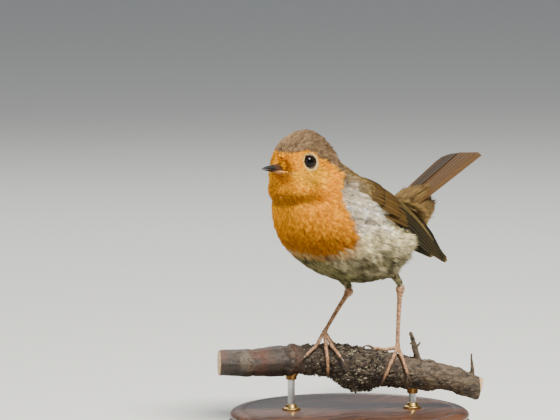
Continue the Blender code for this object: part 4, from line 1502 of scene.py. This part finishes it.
def markings_group():
    """The robin's colours as zones round its body, with painted shade on the lower belly, the lower breast
    and the fold under the cheeks, and some painted light on the cheeks; the skin and the coat share them.
    """
    outputs = {"Colour": "Color", "Orange": "Float"}
    tree, given, out = new_group("robin markings", "ShaderNodeTree", {"Place": "Vector"}, outputs)
    p = (given["Place"] - BIRD_ZERO) * (1 / MM)
    ragged = (p.noise(0.45, 3, 0.6, "Color") - (0.5, 0.5, 0.5)) * 4.2
    x, y, z = (p + ragged).split()
    side = abs(y)
    mirrored = combined(tree, x, side, z)

    low_edge = side.band(13.0, 0.0, 0.0, -2.5) * z.band(62.0, 54.0)
    in_orange = (curve_of(z + low_edge, ORANGE_EDGE) - x).band(-0.9, 0.9)
    calm_x, _, calm_z = (p + ragged * 0.35).split()
    in_orange = in_orange * (curve_of(calm_x, FOREHEAD_EDGE) - calm_z).band(-0.5, 0.6)
    slope = (side - 12.0) * 0.25 + (x * -0.35 + 56.0)
    on_back = (z - slope).band(-2.0, 2.5)
    edge = (z - 56.0) * 0.946 + (x - 7.0)
    in_band = edge.band(0.6, -2.0) * z.band(46.0, 53.0) * side.band(5.0, 10.0)
    ahead = (z - 90.3) * 0.424 + (x + 12.5) * -0.905
    on_head = ahead.band(-22.0, -8.0) * z.band(68.0, 74.0)
    wrist, wing_run = Vector((-9, 16, 71)), Vector((58, -8, -36.7))
    from_wrist = mirrored - wrist
    share = from_wrist.maths("DOT_PRODUCT", wing_run / wing_run.length_squared)
    share = wired(tree, "ShaderNodeClamp", {"Value": share})
    nearest = wired(tree, "ShaderNodeVectorMath", {0: wing_run, "Scale": share}, operation="SCALE")
    on_wing = (from_wrist - nearest).length().band(9.5, 7.0) * edge.band(-2.0, 0.6)

    streaks, mottle = (p * (0.35, 1.0, 0.6)).noise(0.7, 4, 0.65), p.noise(0.22, 4, 0.6)
    # Painted shade low on the belly, broken up by the mottle
    belly_shade_share = mottle.band(0.34, 0.56) * z.band(47.0, 37.0) * x.band(-10.0, 0.0, 0.3, 1.0)
    neck = z.band(60.0, 68.0, 0.0, 0.85)
    nape = edge.band(8.0, 1.5, 0.0, 0.5) * z.band(64.0, 70.0)
    deep = p.noise(0.16, 3, 0.6).band(0.46, 0.72, 0.0, 0.5)
    # Painted shadow in the fold of the plumage under the cheeks
    crease_shade = abs(z - (x * 0.2 + 69.6)).band(4.2, 0.8, 0.0, 0.8) * x.band(-17.0, -24.0)
    lore = (mirrored - (-28.4, 6.6, 77.6)).length().band(4.0, 1.5, 0.0, 0.25)
    # Cheeks a brighter, yellower orange: partly their own colour, partly painted light on the swollen cheeks
    cheek = ((mirrored - (-22.0, 12.0, 73.5)) * (0.8, 0.3, 1.4)).length().band(8.5, 4.0)
    # The orange's own darker patches and a darker patch at the lores, with painted shade low on the breast
    # and in the fold under the cheeks
    rust_and_shade = deep.maximum(z.band(60.0, 43.0), crease_shade, lore)
    fringe = (curve_of(z + low_edge + 3.4, ORANGE_EDGE) - x).band(-2.5, 2.0, 0.0, 0.55)
    stripe = ((mirrored - (-28.0, 6.2, 74.5)) * (0.22, 0.22, 1.0)).length()
    eyes = [(eye - BIRD_ZERO) / MM + Vector((0.35, 0, -0.3)) for eye, _ in EYES.values()]

    colour = painted(
        # The lower middle of the belly darker and greener than the flanks: painted shade and a painted
        # greenish reflection over its own pale colour
        (side.band(15.0, 8.0) * z.band(47.0, 38.0)).mix(FLANK_BUFF, BELLY_SHADED_OLIVE),
        (mottle * 0.3, BELLY_SHADED_OLIVE),
        (belly_shade_share * 0.95, BELLY_SHADE),
        (on_back, BACK_OLIVE),
        (on_wing, BACK_OLIVE),
        (x.band(22.0, 30.0) * z.band(52.0, 46.0), VENT_BUFF),
        (x.band(26.0, 34.0) * z.band(49.0, 54.0), RUMP_OLIVE),
        (in_band, neck.mix(streaks.band(0.44, 0.64).mix(BAND_GREY, BAND_WHITE), NECK_GREY)),
        (nape, NAPE_GREY),
        (on_head, streaks.band(0.42, 0.62).mix(CROWN_DARK, CROWN_BROWN)),
        (in_orange, rust_and_shade.mix(cheek.mix(ORANGE, ORANGE_GOLD), ORANGE_DEEP)),
        # A darker edge below the orange: partly the orange fading out, partly painted shade low on the breast
        (fringe * z.band(50.0, 45.0) * (1.0 - in_orange), ORANGE_DEEP),
        (stripe.band(1.05, 0.35, 0.0, 0.75), GAPE_GOLD),
        *(((p - eye).length().band(4.5, 3.7), RING_CREAM) for eye in eyes),
    )
    tree.links.new(colour.socket, out["Colour"])
    tree.links.new(in_orange.socket, out["Orange"])
    return tree


def material(name, roughness, **constants):
    """A material whose shader has its constant values, and the material's tree."""
    made = bpy.data.materials.new(name)
    made.use_nodes = True
    shader = made.node_tree.nodes["Principled BSDF"]
    for key, value in ({"Roughness": roughness} | constants).items():
        shader.inputs[key.replace("_", " ")].default_value = value
    return made, made.node_tree


def finished(made, colour, relief=None, strength=0.0, depth=0.0, roughness=None, **settings):
    """The material with its colour and, where given, its relief and roughness."""
    tree = made.node_tree
    links = {"Base Color": colour, "Roughness": roughness}
    if relief:
        bump = {"Height": relief, "Strength": strength, "Distance": depth}
        links["Normal"] = wired(tree, "ShaderNodeBump", bump, **settings)
    for key, wire in links.items():
        if wire:
            tree.links.new(wire.socket, tree.nodes["Principled BSDF"].inputs[key])
    return made


def mottled_finish(name, roughness, scale, first, second, strength, depth, detail=3, rough=0.55):
    """Two colours mottled together, with a fine relief."""
    made, tree = material(name, roughness)
    mottle = object_place(tree).noise(scale, detail, rough)
    return finished(made, mottle.mix(tint(*first), tint(*second)), mottle, strength, depth)


def object_place(tree):
    return wired(tree, "ShaderNodeTexCoord", output="Object")


def attribute(tree, name, output="Fac"):
    return wired(tree, "ShaderNodeAttribute", output=output, attribute_name=name)


def skin_finish(markings):
    """Down under the coat: the zone's colour, shadowed."""
    made, tree = material("skin_down", 0.9)
    zone = wires(tree, "ShaderNodeGroup", {"Place": object_place(tree)}, node_tree=markings)
    return finished(made, zone["Colour"] * (0.55, 0.5, 0.48))


def coat_finish(markings):
    """Feather tufts: the zone's colour, darker at the root (partly their own grey bases, partly painted
    shade), paler at the tip, with painted shade in the hollows between clumps; each a little different.
    """
    made, tree = material("coat_feathers", 0.8, Specular_IOR_Level=0.12)
    zone = wires(tree, "ShaderNodeGroup", {"Place": attribute(tree, "root", "Vector")}, node_tree=markings)
    shade = attribute(tree, "tuft_shade")
    value = (shade - 0.5) * ((1.0 - zone["Orange"]) * 0.34) + (shade * 0.5 + 0.73)
    # Darker at the root: partly the feathers' own grey bases, partly painted shade deep in the coat
    value = value * attribute(tree, "tip").band(0.0, 0.9, 0.55, 1.12)
    # Painted shade in the hollows between clumps of loose feathers
    value = value * attribute(tree, "hollow").band(0.15, 0.9, 1.08, 0.42)
    return finished(made, zone["Colour"].shaded(value, shade * 0.02 + 0.49))


def vane_group():
    """The pattern of a feather vane: shaft, pale outer edge, barbs, and a shade of its own."""
    inputs = {"Along": 0.0, "Across": 0.0, "Reach": 0.0, "Feather": 0.0, "Edge": 1.0}
    outputs = dict.fromkeys(("Shaft", "Edge", "Barbs", "Shade"), "Float")
    tree, given, out = new_group("vane pattern", "ShaderNodeTree", inputs, outputs)
    aside = abs(given["Across"])
    edge = given["Across"].band(-0.92, -0.96).maximum(given["Along"].band(0.95, 0.99) * 0.6)
    slanted = aside * -1.6 + given["Reach"] * (1 / MM)
    own = {"W": given["Feather"]}
    made = {
        "Shaft": aside.band(0.10, 0.03),
        "Edge": edge * given["Edge"],
        "Barbs": combined(tree, slanted * 3.2, aside * 0.7, given["Feather"]).noise(1.0, 2, 0.7),
        "Shade": wired(tree, "ShaderNodeTexWhiteNoise", own, "Value", noise_dimensions="1D"),
    }
    for key, wire in made.items():
        tree.links.new(wire.socket, out[key])
    return tree


def vane_finish(name, group):
    """A quill: dark web, paler edge and shaft, and fine slanting barbs."""
    web, inner_web, edge_colour, shaft_colour = QUILL_COLOURS[name]
    made, tree = material(name, 0.62, Specular_IOR_Level=0.1)
    kept = {"Along": "along", "Across": "across", "Reach": "reach", "Feather": "feather", "Edge": "pale_edge"}
    fed = {key: attribute(tree, held) for key, held in kept.items()}
    pattern = wires(tree, "ShaderNodeGroup", fed, node_tree=group)
    value = pattern["Barbs"].band(0.25, 0.75, 0.72, 1.25) * (pattern["Shade"] * 0.55 + 0.7)
    colour = fed["Across"].band(-0.1, 0.1).mix(web, inner_web).shaded(value)
    colour = painted(colour, (pattern["Edge"], edge_colour), (pattern["Shaft"], shaft_colour))
    return finished(made, colour, pattern["Barbs"], 0.5, 0.00012)


def horn_finish():
    """Bill horn: black towards the tip, brown at the base and paler low down, with fine lengthwise grain."""
    made, tree = material("bill_horn", 0.35, Specular_IOR_Level=0.3)
    p = (object_place(tree) - BIRD_ZERO) * (1 / MM)
    x, _, z = p.split()
    grain = (p * (0.5, 4.0, 4.0)).noise(1.4, 4, 0.6)
    tipward = (grain - 0.5) * 1.8 + x
    colour = tipward.band(-36.4, -33.0).mix(tint(9, 7, 6), tint(60, 36, 18))
    low = z.band(76.0, 75.4) * x.band(-36.8, -33.6)
    colour = (low * 0.85).mix(colour, tint(176, 122, 74)).shaded(grain.band(0.3, 0.75, 0.8, 1.25))
    return finished(made, colour, grain, 0.35, 0.00015, grain.band(0.3, 0.7, 0.32, 0.55))


def eye_finish():
    """Wet dark eye: a black pupil in a deep brown ring."""
    made, tree = material("eye_wet", 0.06, Specular_IOR_Level=0.16)
    angle = attribute(tree, "from_axis")
    iris = object_place(tree).noise(2400.0, 3).mix(tint(14, 8, 5), tint(34, 20, 11))
    colour = angle.band(0.40, 0.46).mix((0.002, 0.002, 0.002, 1), iris)
    return finished(made, angle.band(0.74, 0.82).mix(colour, tint(12, 9, 7)))


def scales_finish():
    """Leg skin: warm pinkish brown plates with darker seams and paler soles."""
    flesh = {"Subsurface_Weight": 0.08, "Subsurface_Radius": (0.0012, 0.0005, 0.0003)}
    made, tree = material("leg_scales", 0.42, **flesh)
    plate, above = attribute(tree, "plate").maths("FRACT"), attribute(tree, "above")
    seam = plate.band(0.9, 1.0).maximum(plate.band(0.08, 0.0)) * above.band(-0.35, 0.1)
    mottle = object_place(tree).noise(900.0, 4, 0.6)
    colour = painted(
        mottle.band(0.3, 0.7).mix(tint(118, 80, 50), tint(190, 146, 106)),
        (seam * 0.75, tint(76, 46, 30)),
        (above.band(-0.5, -0.95), tint(200, 158, 116)),
    )
    return finished(made, colour, object_place(tree).noise(5200.0, 2) * 0.4 - seam, 0.5, 0.00012)


def bark_finish():
    """Bark: rusty and smooth at one end, dark, cracked and lichened in the middle, paler at the other, with
    painted shade in its hollows and under the smooth end.
    """
    made, tree = material("branch_bark", 0.75)
    p = perch_place(object_place(tree))
    x, _, z = p.split()
    tone = (p * (0.4, 1.0, 1.0)).noise(0.5, 5, 0.65)
    wavering = tone * 5.0 + (x - 2.5)
    fine = p.noise(2.6, 4, 0.7)
    smooth_end = x.band(-18.0, -26.0)
    rusty = p.noise(0.2, 3).band(0.36, 0.6, 0.15, 0.85) * smooth_end
    for knot, reach in ((-28.0, 4.2), (-46.5, 5.0)):
        rusty = rusty * abs(wavering - knot).band(reach - 2.0, reach + 1.0, 0.1, 1.0)
    paler = x.band(14.0, 28.0) * tone.band(0.35, 0.65)
    # A pale spot on the swelling near the smooth end
    pale_spot = ((p - (-42.5, 5.0, 28.5)) * (0.9, 0.4, 0.6)).length() + (tone * 5.0 - 2.5)
    lichen = p.noise(0.75, 5, 0.7).band(0.58, 0.66) * (attribute(tree, "rough") * 0.7 + 0.15)
    colour = painted(
        tone.band(0.3, 0.7).mix(BARK_DARK, BARK_GREY),
        (rusty, BARK_RUST),
        (paler, BARK_PALE),
        (pale_spot.band(3.2, 2.2) * fine.band(0.35, 0.65, 0.0, 0.4), BARK_LICHEN),
        (lichen, BARK_LICHEN),
        (pores_in(p).band(0.2, 0.06, 0.0, 0.5), BARK_PORE),
    )
    # Painted shade: darker in the bark's hollows, lighter on its raised parts
    shade = attribute(tree, "bark_height").band(-0.7 * MM, 0.35 * MM, 0.28, 1.15)
    # Painted shade on the underside of the smooth end
    under = smooth_end * z.band(31.0, 23.0, 0.05, 0.65)
    colour = colour.shaded(shade * fine.band(0.3, 0.7, 0.72, 1.2) * (1.0 - under))

    rings = p.noise(0.35, 2) * 1.2 + (p * (0.0, 1.0, 1.0) - (0, 0, 24.0)).length() * 1.5
    wood = rings.maths("FRACT").band(0.55, 1.0).mix(tint(214, 180, 132), tint(160, 116, 76))
    colour = attribute(tree, "sawn").mix(colour, wood)
    damp = smooth_end.maximum(paler * 0.7)
    coarse = (p * (0.35, 1.0, 1.0)).noise(1.6, 5, 0.7)
    return finished(made, colour, coarse * 0.7 + fine * 0.5, 0.8, 0.0005, damp.band(0.0, 1.0, 0.78, 0.38))


def lichen_finish():
    """Scraps of bark, some of them crusted with lichen."""
    made, tree = material("lichen_flakes", 0.85)
    p = perch_place(object_place(tree))
    colour = p.noise(0.5, 3, 0.6).band(0.35, 0.65).mix(BARK_DARK, BARK_GREY)
    colour = p.noise(0.3, 3, 0.6).band(0.5, 0.6).mix(colour, BARK_LICHEN)
    fine = p.noise(3.0, 3, 0.7)
    return finished(made, colour.shaded(fine.band(0.3, 0.7, 0.7, 1.2)), fine, 0.6, 0.0003)


def wood_finish():
    """Stained turned wood under satin varnish: straight grain with growth bands and pores."""
    made, tree = material("stained_wood", 0.4, Coat_Weight=0.35, Coat_Roughness=0.18)
    p = object_place(tree) * (1 / MM)
    _, y, _ = p.split()
    bands = (p * (0.02, 0.06, 0.06)).noise(1.0, 3, 0.5) * 7.0 + y * 0.12
    grain = (p * (0.12, 2.6, 2.6)).noise(1.0, 4, 0.65)
    pores = grain.band(0.6, 0.72)
    colour = bands.maths("FRACT").band(0.1, 0.95).mix(tint(96, 60, 36), tint(56, 34, 22))
    colour = (pores * 0.7).mix(colour, tint(28, 18, 12)).shaded(grain.band(0.3, 0.7, 0.85, 1.15))
    return finished(made, colour, pores, 0.25, 0.0001, grain.band(0.3, 0.7, 0.34, 0.5), invert=True)


def metal_finish(name, colour, worn, roughness):
    """Brushed metal with fine turning lines and faint smears."""
    made, tree = material(name, roughness, Metallic=1.0)
    place = object_place(tree)
    lines = (place * (200.0, 200.0, 9000.0)).noise(1.0, 2)
    smears = place.noise(260.0, 3)
    worn_rough = (lines * 0.5 + smears * 0.5).band(0.3, 0.7, roughness - 0.08, roughness + 0.14)
    return finished(made, smears.mix(tint(*colour), tint(*worn)), lines, 0.12, 0.0001, worn_rough)


# ---------------------------------------------------------------- studio

def aimed(made, place, way):
    """Puts a camera or a lamp at its place, turned to look a way."""
    made.location = place
    made.rotation_euler = way.to_track_quat("-Z", "Y").to_euler()


def make_studio():
    """Camera, pale floor, even surroundings, and soft lights."""
    camera = bpy.data.cameras.new("camera")
    camera.lens, camera.sensor_width = LENS, SENSOR
    camera.clip_start, camera.clip_end = 0.05, 50
    holder = linked("camera", camera)
    a, e = VIEW_AZIMUTH, VIEW_ELEVATION
    back = Vector((math.sin(a) * math.cos(e), -math.cos(a) * math.cos(e), math.sin(e)))
    aimed(holder, VIEW_AIM + back * (VIEW_WIDTH * LENS / SENSOR), -back)
    bpy.context.scene.camera = holder

    bm = bmesh.new()
    bmesh.ops.create_circle(bm, cap_ends=True, segments=64, radius=6.0)
    floor = piece("floor", mesh_of(bm, "floor", smooth=False))
    paper, tree = material("floor_paper", 0.9, Base_Color=tint(222, 223, 218))
    floor.data.materials.append(finished(paper, None, object_place(tree).noise(900.0, 2), 0.05, 0.0002))

    world = bpy.data.worlds.new("studio")
    world.use_nodes = True
    world.node_tree.nodes["Background"].inputs[0].default_value = (0.88, 0.92, 1.0, 1)
    world.node_tree.nodes["Background"].inputs[1].default_value = 0.30
    bpy.context.scene.world = world

    for name, place, size, power, colour in (
        ("key", (-0.05, -0.60, 0.93), 0.34, 31.0, (1.0, 0.965, 0.9)),
        ("fill", (-0.9, -0.35, 0.3), 0.7, 2.5, (0.96, 0.98, 1.0)),
        ("rim", (0.35, 0.8, 0.75), 0.5, 5.0, (1.0, 0.99, 0.95)),
    ):
        light = bpy.data.lights.new(name, "AREA")
        light.size, light.energy, light.color = size, power, colour
        aimed(linked(name, light), bird(0, 0, 55) + Vector(place), -Vector(place))


# ---------------------------------------------------------------- assembly

def main():
    make_studio()
    markings = markings_group()
    skin = settle(make_skin(), "plumage_pale", *FLESH, finish=skin_finish(markings))
    make_coat(skin, coat_finish(markings))
    vanes = vane_group()
    make_quills(*(vane_finish(name, vanes) for name in QUILL_COLOURS))
    horn, wet = horn_finish(), eye_finish()
    soft = mottled_finish("gape_skin", 0.45, 2600.0, (226, 150, 60), (246, 196, 112), 0.4, 0.0001)
    lid = mottled_finish("eyelid_skin", 0.5, 3000.0, (30, 22, 16), (66, 48, 32), 0.5, 0.0001)
    for made in (bill_half(True), bill_half(False), nostrils()):
        made.data.materials.append(horn)
    for side, sign in SIDES:
        gape(side, sign).data.materials.append(soft)
        eye_mesh(side, sign).data.materials.append(wet)
        eyelid(side, sign).data.materials.append(lid)
    claw = mottled_finish("claw_horn", 0.3, 1800.0, (44, 32, 26), (104, 78, 60), 0.3, 0.0001)
    make_legs(scales_finish(), claw)
    make_perch(bark_finish(), lichen_finish())
    felt = mottled_finish("base_felt", 0.95, 1600.0, (34, 50, 40), (66, 88, 72), 0.8, 0.0002, 4, 0.7)
    steel = metal_finish("brushed_steel", (200, 200, 198), (168, 168, 166), 0.32)
    brass = metal_finish("aged_brass", (206, 172, 104), (160, 124, 70), 0.3)
    make_stand(wood_finish(), felt, steel, brass)


main()
